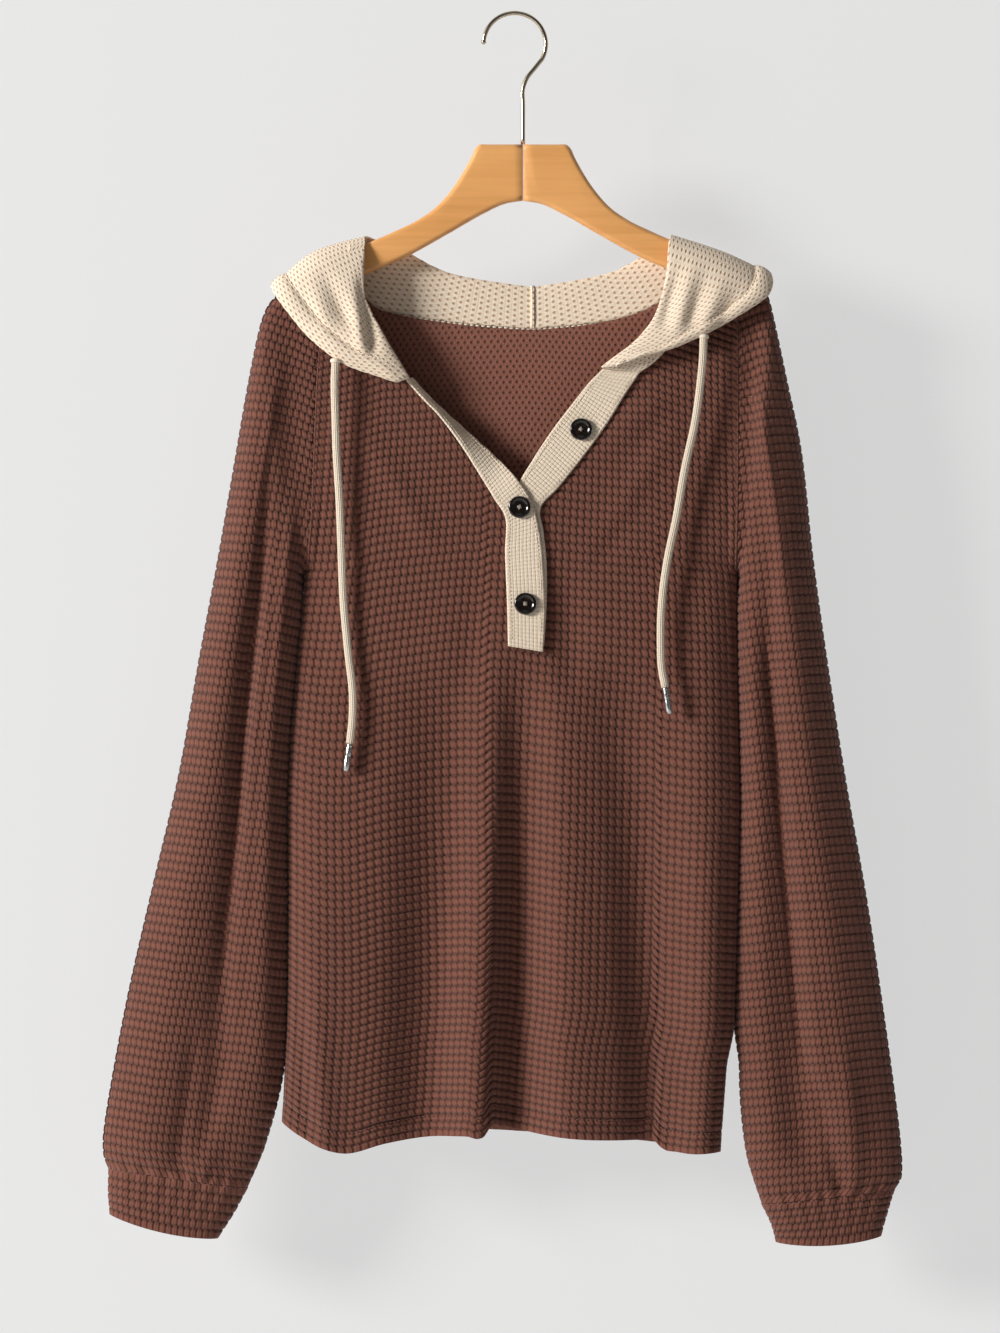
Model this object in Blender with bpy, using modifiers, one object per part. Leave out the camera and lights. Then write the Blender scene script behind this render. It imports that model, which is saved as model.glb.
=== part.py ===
"""Half-button hoodie in waffle knit, hanging on a wooden clothes hanger.

Metres, +Z up, front towards -Y. The origin is the inside top of the hanger's hook, where a
rail carries it. Tables are in millimetres, and MM turns them into metres. "Left" and "right"
are as seen from the front.

The cloth is a wall of one thickness. Each panel is a grid of points worked out from its edges
and from a depth rule: how far the cloth stands in front of, or behind, the plane of the hanger.
"""
import math
from collections import namedtuple

import bmesh
import bpy
import numpy as np

MM = 0.001
WALL = 2.0              # thickness of the knit
SEAM_GAP = 0.3          # between two pieces that are sewn together
ARM_GAP = 0.8           # between the cloth and the hanger's arm that carries it
COLLECTION_NAME = "hoodie_on_hanger"

# ---------------------------------------------------------------- hanger sizes
HANGER_CENTRE = 5.6     # x of the joint between the two wooden halves
HANGER_THICKNESS = 11.0
HANGER_ROUNDING = 4.0
WIRE_DIAMETER = 3.6
HOOK_RADIUS = 25.0      # to the middle of the wire
HOOK_CENTRE = (-1.0, WIRE_DIAMETER / 2 - HOOK_RADIUS)
HANGER_TOP = -103.8     # top of the wood at the hook
HOOK_TURNS = (176.0, -29.3)         # from the tip over the top to the start of the bend, degrees
HOOK_STEPS = 20
# The bend from the bow back to the stem under the bow's middle: x, height.
HOOK_BEND = ((20.8, -35.4), (15.7, -41.8), (8.2, -51.7), (5.6, -59.2), (5.6, -71.2))
HOOK_BEND_STEPS = 12

# Outline of one wooden half: distance from the joint, height.
OutlinePoint = namedtuple("OutlinePoint", "away height")
HANGER_TOP_EDGE = (
    OutlinePoint(36.0, -103.8),
    OutlinePoint(41.0, -113.0),
    OutlinePoint(46.4, -123.2),
    OutlinePoint(60.0, -143.6),
    OutlinePoint(70.0, -154.5),
    OutlinePoint(83.2, -163.8),
    OutlinePoint(104.0, -174.0),
    OutlinePoint(125.6, -183.4),
    OutlinePoint(160.0, -199.8),
)
HANGER_LOWER_EDGE = (
    OutlinePoint(160.0, -222.3),
    OutlinePoint(126.4, -208.2),
    OutlinePoint(88.8, -191.5),
    OutlinePoint(60.0, -175.5),
    OutlinePoint(31.0, -159.0),
    OutlinePoint(14.0, -151.2),
    OutlinePoint(0.0, -149.0),
)
ARM_END = OutlinePoint(168.0, -214.6)   # middle of the arm's round end
ARM_END_RADIUS = 10.0
ARM_END_TURNS = (62.0, -112.0)
ARM_END_STEPS = 7
SHARPEST_CORNER = 0.5   # limits how far a corner of the outline moves when it is inset
SHOULDER_FROM = HANGER_TOP_EDGE[-2]
SHOULDER_SLOPE = (HANGER_TOP_EDGE[-2].height - HANGER_TOP_EDGE[-1].height) / (
    HANGER_TOP_EDGE[-1].away - HANGER_TOP_EDGE[-2].away)

# ---------------------------------------------------------------- body of the garment
# Side edges and depths by height. Below the armpit the edges are the side seams, and above it
# the armhole seams.
BodyRow = namedtuple("BodyRow", "height left right front back")
BODY = (
    BodyRow(-925.0, -188.5, 163.0, 27.0, 20.0),
    BodyRow(-874.0, -187.0, 166.8, 26.5, 20.0),
    BodyRow(-835.0, -183.4, 169.6, 26.2, 20.0),
    BodyRow(-789.0, -180.8, 172.0, 26.0, 20.0),
    BodyRow(-709.0, -180.2, 173.6, 25.0, 19.0),
    BodyRow(-629.0, -179.6, 174.4, 24.0, 18.0),
    BodyRow(-565.0, -176.8, 174.8, 23.0, 17.5),
    BodyRow(-509.0, -172.8, 175.2, 22.0, 17.0),
    BodyRow(-448.0, -167.6, 176.0, 20.5, 16.0),
    BodyRow(-405.0, -164.0, 177.0, 19.0, 15.0),
    BodyRow(-349.0, -161.6, 177.6, 16.5, 14.0),
    BodyRow(-291.0, -159.2, 177.6, 13.5, 12.5),
    BodyRow(-240.0, -155.4, 177.6, 11.0, 11.0),
    BodyRow(-185.0, -155.2, 177.6, 9.5, 10.0),
)
ARMPIT_HEIGHT = -448.0
ARMHOLE_ROUNDING = 45.0     # height over which the armhole opens above the armpit
ARMHOLE_DEPTH = 0.86        # depth at the armhole seam, as a share of the panel's depth
SIDE_POWER = 2.6            # how square the sides are rounded
SHOULDER_RADIUS = 9.0       # rounding of the cloth over the hanger's arm
SHOULDER_POWER = 2.0
SIDE_TURN = 0.08            # last strip at a side seam, which runs straight back
SHOULDER_SEAM_OPENING = 0.5 # the walls stand on edge there, so their outer faces part by this
ARM_ROW_HEIGHT = -200.0     # height at which the armhole's top is looked up in the table

HemPoint = namedtuple("HemPoint", "x height")
FRONT_HEM = (
    HemPoint(-189.0, -886.0),
    HemPoint(-172.8, -897.4),
    HemPoint(-138.4, -911.0),
    HemPoint(-104.8, -903.8),
    HemPoint(-76.8, -899.8),
    HemPoint(-24.0, -896.0),
    HemPoint(3.2, -893.4),
    HemPoint(43.2, -899.0),
    HemPoint(100.0, -902.0),
    HemPoint(131.2, -911.0),
    HemPoint(165.6, -911.0),
)
BACK_HEM = (
    HemPoint(-189.0, -886.0),
    HemPoint(-100.0, -893.0),
    HemPoint(0.0, -896.0),
    HemPoint(90.0, -904.0),
    HemPoint(165.6, -911.0),
)

# A panel's rows run between these lines, each given by its height at the edges and the centre.
PanelLine = namedtuple("PanelLine", "left centre right rows_below")
FRONT_LINES = (
    PanelLine(ARMPIT_HEIGHT, -520.0, ARMPIT_HEIGHT, 11),
    PanelLine(-400.0, -414.0, -400.0, 4),
)
BACK_LINES = (
    PanelLine(ARMPIT_HEIGHT, -440.0, ARMPIT_HEIGHT, 8),
    PanelLine(-320.0, -251.8, -320.0, 4),
)
# Shares of the way from the last line to the shoulder seam.
FRONT_UPPER_ROWS = (0.15, 0.3, 0.45, 0.6, 0.74, 0.87, 0.953, 0.977, 0.994, 1.0)
BACK_UPPER_ROWS = (0.2, 0.4, 0.6, 0.78, 0.93, 0.964, 0.991, 1.0)

# Inner edges, from the foot of the neck opening up to the shoulder seam.
EdgePoint = namedtuple("EdgePoint", "x height")
FRONT_OPENING_LEFT = (
    EdgePoint(6.4, -414.0),
    EdgePoint(-9.8, -405.8),
    EdgePoint(-18.6, -389.2),
    EdgePoint(-30.6, -369.2),
    EdgePoint(-46.6, -343.6),
    EdgePoint(-62.6, -322.0),
    EdgePoint(-76.4, -306.7),
    EdgePoint(-88.0, -292.0),
    EdgePoint(-103.5, -281.0),
    EdgePoint(-123.5, -256.0),
    EdgePoint(-131.3, -233.0),
    EdgePoint(-132.4, -209.5),
    EdgePoint(-131.2, -186.0),
)
FRONT_OPENING_RIGHT = (
    EdgePoint(6.4, -414.0),
    EdgePoint(17.8, -394.5),
    EdgePoint(32.9, -377.7),
    EdgePoint(52.0, -353.8),
    EdgePoint(70.4, -328.2),
    EdgePoint(84.5, -306.0),
    EdgePoint(96.0, -288.0),
    EdgePoint(110.5, -278.0),
    EdgePoint(123.0, -262.0),
    EdgePoint(131.0, -240.0),
    EdgePoint(136.0, -215.0),
    EdgePoint(139.2, -188.0),
)
BACK_NECK_LEFT = (
    EdgePoint(13.6, -251.8),
    EdgePoint(-28.8, -249.4),
    EdgePoint(-60.8, -245.4),
    EdgePoint(-92.8, -240.0),
    EdgePoint(-114.0, -233.0),
    EdgePoint(-125.0, -220.0),
    EdgePoint(-129.5, -204.0),
    EdgePoint(-131.2, -186.0),
)
BACK_NECK_RIGHT = (
    EdgePoint(13.6, -251.8),
    EdgePoint(55.0, -249.0),
    EdgePoint(86.0, -243.5),
    EdgePoint(110.0, -235.5),
    EdgePoint(126.0, -222.0),
    EdgePoint(135.0, -206.0),
    EdgePoint(139.2, -188.0),
)
# Places of the columns across half a panel, 0 at the centre and 1 at the edge.
HALF_COLUMNS = (0.0, 0.1, 0.2, 0.3, 0.4, 0.5, 0.6, 0.7, 0.8, 0.88, 0.945, 0.985, 1.0)

FOLD_EDGE_POWER = 6         # the folds die out at the panel's edges
FOLD_CLEAR = 25.0           # no fold nearer than this to the shoulder seam
FOLD_FADE = 60.0            # distance over which the folds set in below that
FOLD_GROWTH = 1.6           # a fold has its full rise at 1 / FOLD_GROWTH of its length

# Folds of the front and back: a ridge (or, with a negative rise, a trough) from its top to its
# foot, with its half width on either side.
Fold = namedtuple("Fold", "name top_x top_height foot_x foot_height rise left_width right_width")
FRONT_FOLDS = (
    Fold("ridge left of centre", -12.8, -440.0, -58.0, -905.0, 9.0, 34.0, 24.0),
    Fold("centre trough", -8.0, -520.0, -13.0, -905.0, -12.0, 15.0, 20.0),
    Fold("ridge right of centre", 15.0, -500.0, 12.0, -905.0, 6.0, 18.0, 24.0),
    Fold("right trough", 60.0, -540.0, 92.0, -905.0, -8.0, 34.0, 24.0),
    Fold("right ridge", 147.0, -420.0, 138.0, -915.0, 9.0, 26.0, 30.0),
    Fold("left trough", -84.0, -700.0, -84.0, -905.0, -5.0, 22.0, 18.0),
    Fold("left belly", -138.0, -640.0, -138.0, -915.0, 6.0, 26.0, 30.0),
    Fold("drag from the placket", 62.0, -365.0, 118.0, -300.0, 4.0, 18.0, 18.0),
)
BACK_FOLDS = (
    Fold("ridge under the left blade", -80.0, -420.0, -105.0, -905.0, 7.0, 34.0, 34.0),
    Fold("centre trough", 0.0, -430.0, -10.0, -905.0, -6.0, 36.0, 30.0),
    Fold("ridge under the right blade", 85.0, -420.0, 100.0, -905.0, 8.0, 34.0, 34.0),
)

# ---------------------------------------------------------------- sleeves
# Rings from the armhole to the cuff: outer and inner end, depth in front and behind.
SleeveRow = namedtuple("SleeveRow", "outer_x outer_height inner_x inner_height front back")
SLEEVE_LEFT = (
    SleeveRow(-155.5, -197.4, -168.2, -448.0, 16.0, 14.0),
    SleeveRow(-168.8, -203.3, -169.2, -452.0, 16.5, 14.0),
    SleeveRow(-180.5, -210.8, -170.4, -457.0, 17.0, 14.5),
    SleeveRow(-190.0, -222.5, -171.6, -464.0, 17.5, 15.0),
    SleeveRow(-199.5, -234.0, -172.6, -474.0, 18.5, 15.5),
    SleeveRow(-206.5, -254.0, -174.5, -490.0, 20.0, 16.0),
    SleeveRow(-216.0, -301.0, -178.0, -520.0, 21.5, 17.0),
    SleeveRow(-227.0, -365.0, -181.5, -556.0, 22.5, 18.0),
    SleeveRow(-240.0, -440.0, -184.6, -592.0, 23.0, 18.5),
    SleeveRow(-255.0, -520.0, -186.2, -634.0, 23.0, 19.0),
    SleeveRow(-270.5, -608.0, -185.4, -690.0, 23.0, 19.0),
    SleeveRow(-290.0, -692.0, -185.4, -752.0, 23.0, 19.0),
    SleeveRow(-309.0, -774.0, -185.6, -817.0, 22.5, 19.0),
    SleeveRow(-322.0, -840.0, -188.5, -861.0, 22.0, 19.0),
    SleeveRow(-330.5, -892.0, -199.5, -903.0, 21.0, 18.5),
    SleeveRow(-331.0, -913.0, -208.5, -926.0, 20.0, 18.0),
    SleeveRow(-327.4, -924.0, -215.0, -940.0, 18.5, 17.0),
)
SLEEVE_RIGHT = (
    SleeveRow(177.9, -202.7, 176.6, -448.0, 16.0, 14.0),
    SleeveRow(184.0, -205.7, 177.6, -452.0, 16.5, 14.0),
    SleeveRow(190.4, -210.5, 178.2, -457.0, 17.0, 14.5),
    SleeveRow(197.0, -216.0, 178.3, -465.0, 17.5, 15.0),
    SleeveRow(203.0, -227.5, 178.7, -477.0, 18.5, 15.5),
    SleeveRow(207.6, -246.0, 179.2, -493.0, 20.0, 16.0),
    SleeveRow(217.6, -293.0, 180.0, -521.0, 21.5, 17.0),
    SleeveRow(229.5, -352.0, 181.2, -553.0, 22.5, 18.0),
    SleeveRow(238.6, -436.0, 182.8, -592.0, 23.0, 18.5),
    SleeveRow(250.5, -522.0, 184.0, -634.0, 23.0, 19.0),
    SleeveRow(264.5, -612.0, 182.2, -690.0, 23.0, 19.0),
    SleeveRow(281.6, -709.0, 180.0, -755.0, 23.0, 19.0),
    SleeveRow(293.6, -789.0, 178.8, -823.0, 22.5, 19.0),
    SleeveRow(303.2, -858.0, 179.4, -869.0, 22.0, 19.0),
    SleeveRow(308.6, -903.0, 184.0, -911.0, 21.0, 18.5),
    SleeveRow(309.6, -930.0, 191.2, -937.0, 20.0, 18.0),
    SleeveRow(304.4, -941.0, 196.8, -953.0, 18.5, 17.0),
)
SLEEVE_RINGS = 15
RING_SPREAD = 1.15          # the rings lie closer together near the armhole
SLEEVE_SET = 0.45           # the sleeve's seam stands off the body's by this
# Places round half a ring, 0 at the outer end and 1 at the inner end.
HALF_RING = (0.0, 0.004, 0.015, 0.04, 0.11, 0.22, 0.36, 0.50, 0.64, 0.78, 0.90, 0.97, 1.0)
RINGS_OVER_ARM = 2.0        # rows of the table that still lie over the hanger's arm
RINGS_TO_TUBE = 3.0         # rows over which the shoulder's form becomes a tube
SEAM_ROWS = 4.0             # rows over which a ring keeps the curve of the armhole seam
TUBE_POWER = 2.4

# Sleeve folds: from and to in rows of the sleeve's table, place across (0 outer, 1 inner).
SleeveFold = namedtuple("SleeveFold", "name first last across_first across_last rise width")
SLEEVE_FOLDS = {
    "left": (
        SleeveFold("trough along the sleeve", 5.0, 15.0, 0.42, 0.68, -7.0, 0.11),
        SleeveFold("ridge by the body", 1.5, 14.0, 0.72, 0.88, 4.0, 0.10),
        SleeveFold("outer ridge", 4.0, 16.0, 0.20, 0.30, 4.0, 0.16),
    ),
    "right": (
        SleeveFold("trough along the sleeve", 6.0, 15.0, 0.60, 0.62, -6.0, 0.12),
        SleeveFold("outer ridge", 2.5, 15.0, 0.36, 0.34, 5.0, 0.16),
        SleeveFold("ridge by the body", 5.0, 15.0, 0.86, 0.84, 3.0, 0.10),
    ),
}

CuffRow = namedtuple("CuffRow", "outer_x outer_height inner_x inner_height depth")
CUFF_LEFT = (
    CuffRow(-327.0, -924.6, -215.2, -940.8, 17.0),
    CuffRow(-327.4, -944.0, -221.5, -958.0, 16.5),
    CuffRow(-326.4, -960.5, -231.8, -976.0, 16.0),
)
CUFF_RIGHT = (
    CuffRow(304.0, -941.9, 197.0, -953.9, 17.0),
    CuffRow(299.0, -958.0, 204.6, -970.0, 16.5),
    CuffRow(292.4, -978.5, 210.4, -985.5, 16.0),
)
CUFF_SAG = 8.0              # the mouth hangs lower in the middle
CUFF_RINGS = 3

# ---------------------------------------------------------------- hood
# Sections of the hood from the placket round to the centre of the back. Each runs from the
# neck seam over the roll and the fold to the edge of the face opening. On the lapel the fold
# is its middle, and behind the neck it is the bottom of the pouch.
Place = namedtuple("Place", "x y z")
HoodRow = namedtuple("HoodRow", "name seam roll fold edge")
HOOD_LEFT = (
    HoodRow("placket end", Place(-94.0, -16.4, -289.0), Place(-87.0, -19.5, -291.5),
            Place(-91.0, -22.4, -294.5), Place(-96.0, -21.4, -295.5)),
    HoodRow("low chest", Place(-106.0, -15.6, -281.0), Place(-97.0, -20.0, -277.0),
            Place(-101.0, -25.0, -287.0), Place(-108.0, -22.5, -291.5)),
    HoodRow("chest", Place(-125.5, -14.2, -255.0), Place(-113.0, -20.0, -249.5),
            Place(-121.0, -27.5, -266.0), Place(-137.0, -23.0, -281.5)),
    HoodRow("collar bone", Place(-133.5, -12.9, -233.0), Place(-122.4, -17.5, -226.0),
            Place(-143.0, -26.0, -243.0), Place(-164.0, -22.5, -261.5)),
    HoodRow("front of the arm", Place(-134.6, -12.2, -209.5), Place(-123.0, -15.0, -203.5),
            Place(-152.0, -22.0, -220.0), Place(-182.0, -20.5, -240.5)),
    HoodRow("over the arm, front", Place(-133.6, -11.6, -189.5), Place(-121.8, -8.5, -185.0),
            Place(-158.0, -14.5, -199.5), Place(-192.5, -14.5, -226.0)),
    HoodRow("over the arm", Place(-132.8, 0.0, -182.4), Place(-120.6, 1.5, -178.2),
            Place(-162.0, 0.0, -191.5), Place(-196.0, 1.0, -218.0)),
    HoodRow("behind the arm", Place(-132.2, 12.4, -190.0), Place(-112.0, 13.0, -181.0),
            Place(-152.0, 18.0, -212.0), Place(-186.0, 19.0, -224.0)),
    HoodRow("nape", Place(-117.0, 12.8, -230.5), Place(-92.0, 14.8, -190.0),
            Place(-126.0, 29.0, -285.0), Place(-140.0, 35.0, -222.0)),
    HoodRow("back quarter", Place(-61.0, 13.2, -243.9), Place(-50.0, 17.5, -207.5),
            Place(-72.0, 37.0, -405.0), Place(-74.0, 48.0, -233.0)),
    HoodRow("by the centre seam", Place(9.6, 13.6, -250.4), Place(9.6, 19.0, -217.0),
            Place(9.6, 42.0, -446.0), Place(9.6, 54.0, -244.0)),
    HoodRow("centre seam", Place(13.6, 13.6, -250.4), Place(13.6, 19.0, -217.0),
            Place(13.6, 42.0, -446.0), Place(13.6, 54.0, -244.0)),
)
HOOD_RIGHT = (
    HoodRow("placket end", Place(99.0, -16.4, -287.5), Place(68.5, -19.5, -284.0),
            Place(76.0, -24.6, -283.0), Place(83.0, -24.4, -277.5)),
    HoodRow("low chest", Place(112.5, -15.8, -277.5), Place(88.0, -20.0, -270.0),
            Place(98.0, -26.5, -274.0), Place(107.0, -25.0, -273.0)),
    HoodRow("chest", Place(125.2, -14.2, -261.5), Place(104.0, -20.0, -258.0),
            Place(118.0, -27.5, -266.5), Place(133.0, -23.5, -264.0)),
    HoodRow("collar bone", Place(133.4, -12.9, -240.0), Place(114.5, -18.0, -240.0),
            Place(138.0, -26.0, -249.0), Place(161.0, -22.5, -252.5)),
    HoodRow("front of the arm", Place(138.2, -12.2, -214.0), Place(121.5, -15.0, -212.0),
            Place(158.0, -22.0, -225.0), Place(196.0, -20.5, -231.0)),
    HoodRow("over the arm, front", Place(142.2, -12.6, -191.0), Place(124.0, -12.0, -184.0),
            Place(165.0, -14.5, -200.0), Place(205.0, -13.5, -219.5)),
    HoodRow("over the arm", Place(140.8, 0.0, -182.0), Place(125.4, 1.5, -177.2),
            Place(168.0, 0.0, -192.0), Place(204.0, 1.0, -208.5)),
    HoodRow("behind the arm", Place(140.2, 12.4, -191.0), Place(122.0, 13.0, -184.0),
            Place(165.0, 18.0, -212.0), Place(198.0, 19.0, -216.0)),
    HoodRow("nape", Place(129.0, 12.8, -220.0), Place(106.0, 14.8, -192.0),
            Place(150.0, 29.0, -285.0), Place(158.0, 35.0, -222.0)),
    HoodRow("back quarter", Place(86.5, 13.2, -241.9), Place(73.0, 17.5, -207.0),
            Place(97.0, 37.0, -405.0), Place(99.0, 48.0, -233.0)),
    HoodRow("by the centre seam", Place(17.6, 13.6, -250.4), Place(17.6, 19.0, -217.0),
            Place(17.6, 42.0, -446.0), Place(17.6, 54.0, -244.0)),
    HoodRow("centre seam", Place(13.6, 13.6, -250.4), Place(13.6, 19.0, -217.0),
            Place(13.6, 42.0, -446.0), Place(13.6, 54.0, -244.0)),
)
HOOD_KNOTS = (0.0, 0.16, 0.58, 1.0)         # places of seam, roll, fold and edge
HOOD_ACROSS = (0.0, 0.07, 0.12, 0.17, 0.23, 0.32, 0.43, 0.52, 0.58, 0.64, 0.74, 0.87, 1.0)
HOOD_ROUND_STEPS = 2                        # grid steps between two sections

# ---------------------------------------------------------------- placket, buttons, strings
# Sections of a band: outer and inner edge, how far it lies in front of the front panel, and
# how far its inner edge is turned back.
BandRow = namedtuple("BandRow", "outer_x outer_height inner_x inner_height lift turn")
BUTTONHOLE_BAND = (
    BandRow(-84.5, -296.8, -79.5, -294.0, 4.2, 12.0),
    BandRow(-74.0, -308.5, -69.5, -305.0, 3.6, 13.0),
    BandRow(-61.6, -321.4, -57.0, -317.0, 3.0, 14.0),
    BandRow(-45.6, -343.0, -38.0, -334.0, 3.2, 13.0),
    BandRow(-29.6, -368.6, -16.0, -354.5, 4.2, 8.0),
    BandRow(-17.6, -388.6, 0.5, -372.5, 5.6, 0.5),
    BandRow(-8.4, -405.0, 13.5, -394.0, 5.6, 0.0),
    BandRow(-8.8, -432.6, 20.5, -428.0, 5.4, 0.0),
    BandRow(-7.2, -472.6, 23.2, -472.6, 5.4, 0.0),
    BandRow(-6.4, -506.2, 21.6, -511.0, 5.4, 0.0),
)
BUTTON_BAND = (
    BandRow(96.4, -291.4, 66.4, -287.6, 3.4, 0.0),
    BandRow(86.0, -307.0, 58.0, -296.0, 3.2, 0.0),
    BandRow(72.0, -329.4, 47.0, -310.0, 2.9, 0.0),
    BandRow(53.6, -355.0, 29.0, -333.5, 2.7, 0.0),
    BandRow(34.4, -379.0, 12.0, -359.5, 2.6, 0.0),
    BandRow(19.8, -395.8, 1.0, -380.0, 2.6, 0.0),
    BandRow(22.0, -415.0, -3.0, -408.0, 2.6, 0.0),
    BandRow(24.4, -440.0, -4.6, -437.0, 2.6, 0.0),
    BandRow(24.4, -472.0, -4.6, -472.0, 2.6, 0.0),
    BandRow(22.4, -506.0, -4.0, -503.0, 2.6, 0.0),
)
BAND_STEPS = 2              # grid steps between two sections of a band
BAND_ACROSS = 4
BAND_TURN_POWER = 1.5       # how the turn of the inner edge grows across the band

BUTTON_DIAMETER = 17.6
BUTTON_THICKNESS = 3.4
BUTTON_SEGMENTS = 16
BUTTON_PROBE = 0.05         # step along and across the band that gives its slope there
ButtonPlace = namedtuple("ButtonPlace", "name band along across")
BUTTONS = (
    ButtonPlace("button_1", "button", 2.52, 0.44),
    ButtonPlace("button_2", "buttonhole", 5.86, 0.56),
    ButtonPlace("button_3", "buttonhole", 8.0, 0.48),
)
# A button's outline, from its middle to its back: share of the radius, share of the thickness.
ProfilePoint = namedtuple("ProfilePoint", "away height")
BUTTON_PROFILE = (
    ProfilePoint(0.0, 0.72),
    ProfilePoint(0.60, 0.72),
    ProfilePoint(0.74, 1.0),
    ProfilePoint(0.90, 1.0),
    ProfilePoint(1.0, 0.70),
    ProfilePoint(1.0, 0.35),
    ProfilePoint(0.86, 0.0),
    ProfilePoint(0.0, 0.0),
)

STRING_DIAMETER = 5.0
AGLET_DIAMETER = 5.6
STRING_LEFT = (
    Place(-144.0, -24.6, -278.9),
    Place(-144.6, -26.0, -294.0),
    Place(-144.0, -26.6, -322.0),
    Place(-143.2, -26.6, -349.0),
    Place(-140.8, -26.4, -389.0),
    Place(-139.2, -26.4, -429.0),
    Place(-137.6, -26.6, -469.0),
    Place(-134.0, -27.0, -509.0),
    Place(-130.0, -27.4, -549.0),
    Place(-130.4, -27.6, -565.0),
    Place(-132.4, -27.6, -584.0),
)
STRING_RIGHT = (
    Place(149.6, -24.6, -259.5),
    Place(149.0, -26.4, -276.0),
    Place(147.2, -27.4, -295.0),
    Place(143.2, -27.6, -325.0),
    Place(134.6, -28.0, -365.0),
    Place(127.6, -28.6, -405.0),
    Place(120.8, -29.4, -437.0),
    Place(116.4, -30.2, -469.0),
    Place(115.2, -31.0, -501.0),
    Place(116.2, -31.4, -525.0),
    Place(118.8, -31.6, -539.0),
)
AGLET_ENDS = {"left": Place(-135.8, -27.6, -606.4), "right": Place(122.2, -31.6, -560.6)}
STRING_STEPS = 30
AGLET_SEGMENTS = 12
AGLET_SHOULDER = 0.86       # share of the length at which the tip starts to narrow
AGLET_TIP = 0.7             # the tip's share of the radius

# ---------------------------------------------------------------- finishes
Finish = namedtuple("Finish", "colour roughness metallic")
BROWN_KNIT = Finish((0.085, 0.052, 0.040), 0.92, 0.0)
CREAM_KNIT = Finish((0.62, 0.53, 0.40), 0.90, 0.0)
CREAM_CORD = Finish((0.68, 0.60, 0.47), 0.85, 0.0)
DARK_BUTTON = Finish((0.022, 0.014, 0.011), 0.30, 0.0)
HONEY_WOOD = Finish((0.42, 0.19, 0.065), 0.42, 0.0)
HOOK_METAL = Finish((0.62, 0.54, 0.42), 0.28, 1.0)
STRING_METAL = Finish((0.70, 0.70, 0.70), 0.25, 1.0)


# ---------------------------------------------------------------- curves and depths
def smooth_step(share):
    """Ease from 0 to 1, flat at both ends: 3t^2 - 2t^3."""
    share = np.clip(share, 0.0, 1.0)
    return share * share * (3.0 - 2.0 * share)


def smooth_curve(knots, values, places):
    """Points at the given places on the cubic (Hermite) curve that passes through the values."""
    knots = np.asarray(knots, float)
    values = np.asarray(values, float)
    places = np.asarray(places, float)
    slopes = np.gradient(values, knots, axis=0)
    step = np.clip(np.searchsorted(knots, places, side="right") - 1, 0, len(knots) - 2)
    width = knots[step + 1] - knots[step]
    share = (places - knots[step]) / width
    if values.ndim > 1:
        share = share[..., None]
        width = width[..., None]
    square = share * share
    cube = square * share
    return (values[step] * (2 * cube - 3 * square + 1) + slopes[step] * width * (cube - 2 * square + share)
            + values[step + 1] * (3 * square - 2 * cube) + slopes[step + 1] * width * (cube - square))


def along_edge(points, shares):
    """Points on the smooth curve through an edge's points, by share of its length."""
    points = np.array(points, float)
    lengths = np.linalg.norm(np.diff(points, axis=0), axis=1)
    knots = np.concatenate(([0.0], np.cumsum(lengths)))
    return smooth_curve(knots / knots[-1], points, shares)


def body_value(column, height):
    """A column of the body's table at the given heights."""
    rows = np.array(BODY, float)
    return smooth_curve(rows[:, 0], rows[:, BodyRow._fields.index(column)], height)


def shoulder_height(x):
    """Height of the cloth on the hanger's arm: the arm's top edge, the gap and the wall."""
    away = np.abs(np.asarray(x, float) - HANGER_CENTRE)
    return SHOULDER_FROM.height - SHOULDER_SLOPE * (away - SHOULDER_FROM.away) + ARM_GAP + WALL


def over_shoulder(below):
    """Share of the depth at a distance below the shoulder seam, round as the cloth over the arm."""
    share = np.clip(1.0 - below / SHOULDER_RADIUS, 0.0, 1.0)
    return (1.0 - share ** SHOULDER_POWER) ** (1.0 / SHOULDER_POWER)


def armhole_share(height):
    """Depth at the body's edge, as a share of the panel's depth: 0 at the side seam."""
    rise = np.clip((height - ARMPIT_HEIGHT) / ARMHOLE_ROUNDING, 0.0, 1.0)
    return ARMHOLE_DEPTH * np.sqrt(1.0 - (1.0 - rise) ** 2)


def side_share(across, height):
    """Share of the depth at a place across the panel, falling off round the side."""
    edge = armhole_share(height)
    power = 1.0 / SIDE_POWER + (1.0 - 1.0 / SIDE_POWER) * smooth_step(edge / ARMHOLE_DEPTH)
    fall = np.maximum(1.0 - np.abs(across) ** SIDE_POWER, 0.0) ** power
    return edge + (1.0 - edge) * fall


def fold_rise(folds, x, height):
    """Sum of the folds: each a soft bump across its line, growing from its top to its foot."""
    rise = np.zeros_like(x)
    for fold in folds:
        along = (fold.top_height - height) / (fold.top_height - fold.foot_height)
        middle = fold.top_x + (fold.foot_x - fold.top_x) * along
        width = np.where(x < middle, fold.left_width, fold.right_width)
        grow = smooth_step(along * FOLD_GROWTH)
        if fold.foot_height > fold.top_height:
            grow = grow * smooth_step((1.0 - along) * 4.0)
        rise = rise + fold.rise * grow * np.exp(-((x - middle) / width) ** 2)
    return rise


def panel_depth(side, folds, x, height, across):
    """Distance of the panel's outer face from the hanger's plane."""
    below = shoulder_height(x) - height
    base = body_value(side, height) * side_share(across, height) * over_shoulder(below)
    fade = (1.0 - np.abs(across) ** FOLD_EDGE_POWER) * smooth_step((below - FOLD_CLEAR) / FOLD_FADE)
    return base + fade * fold_rise(folds, x, height)


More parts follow.
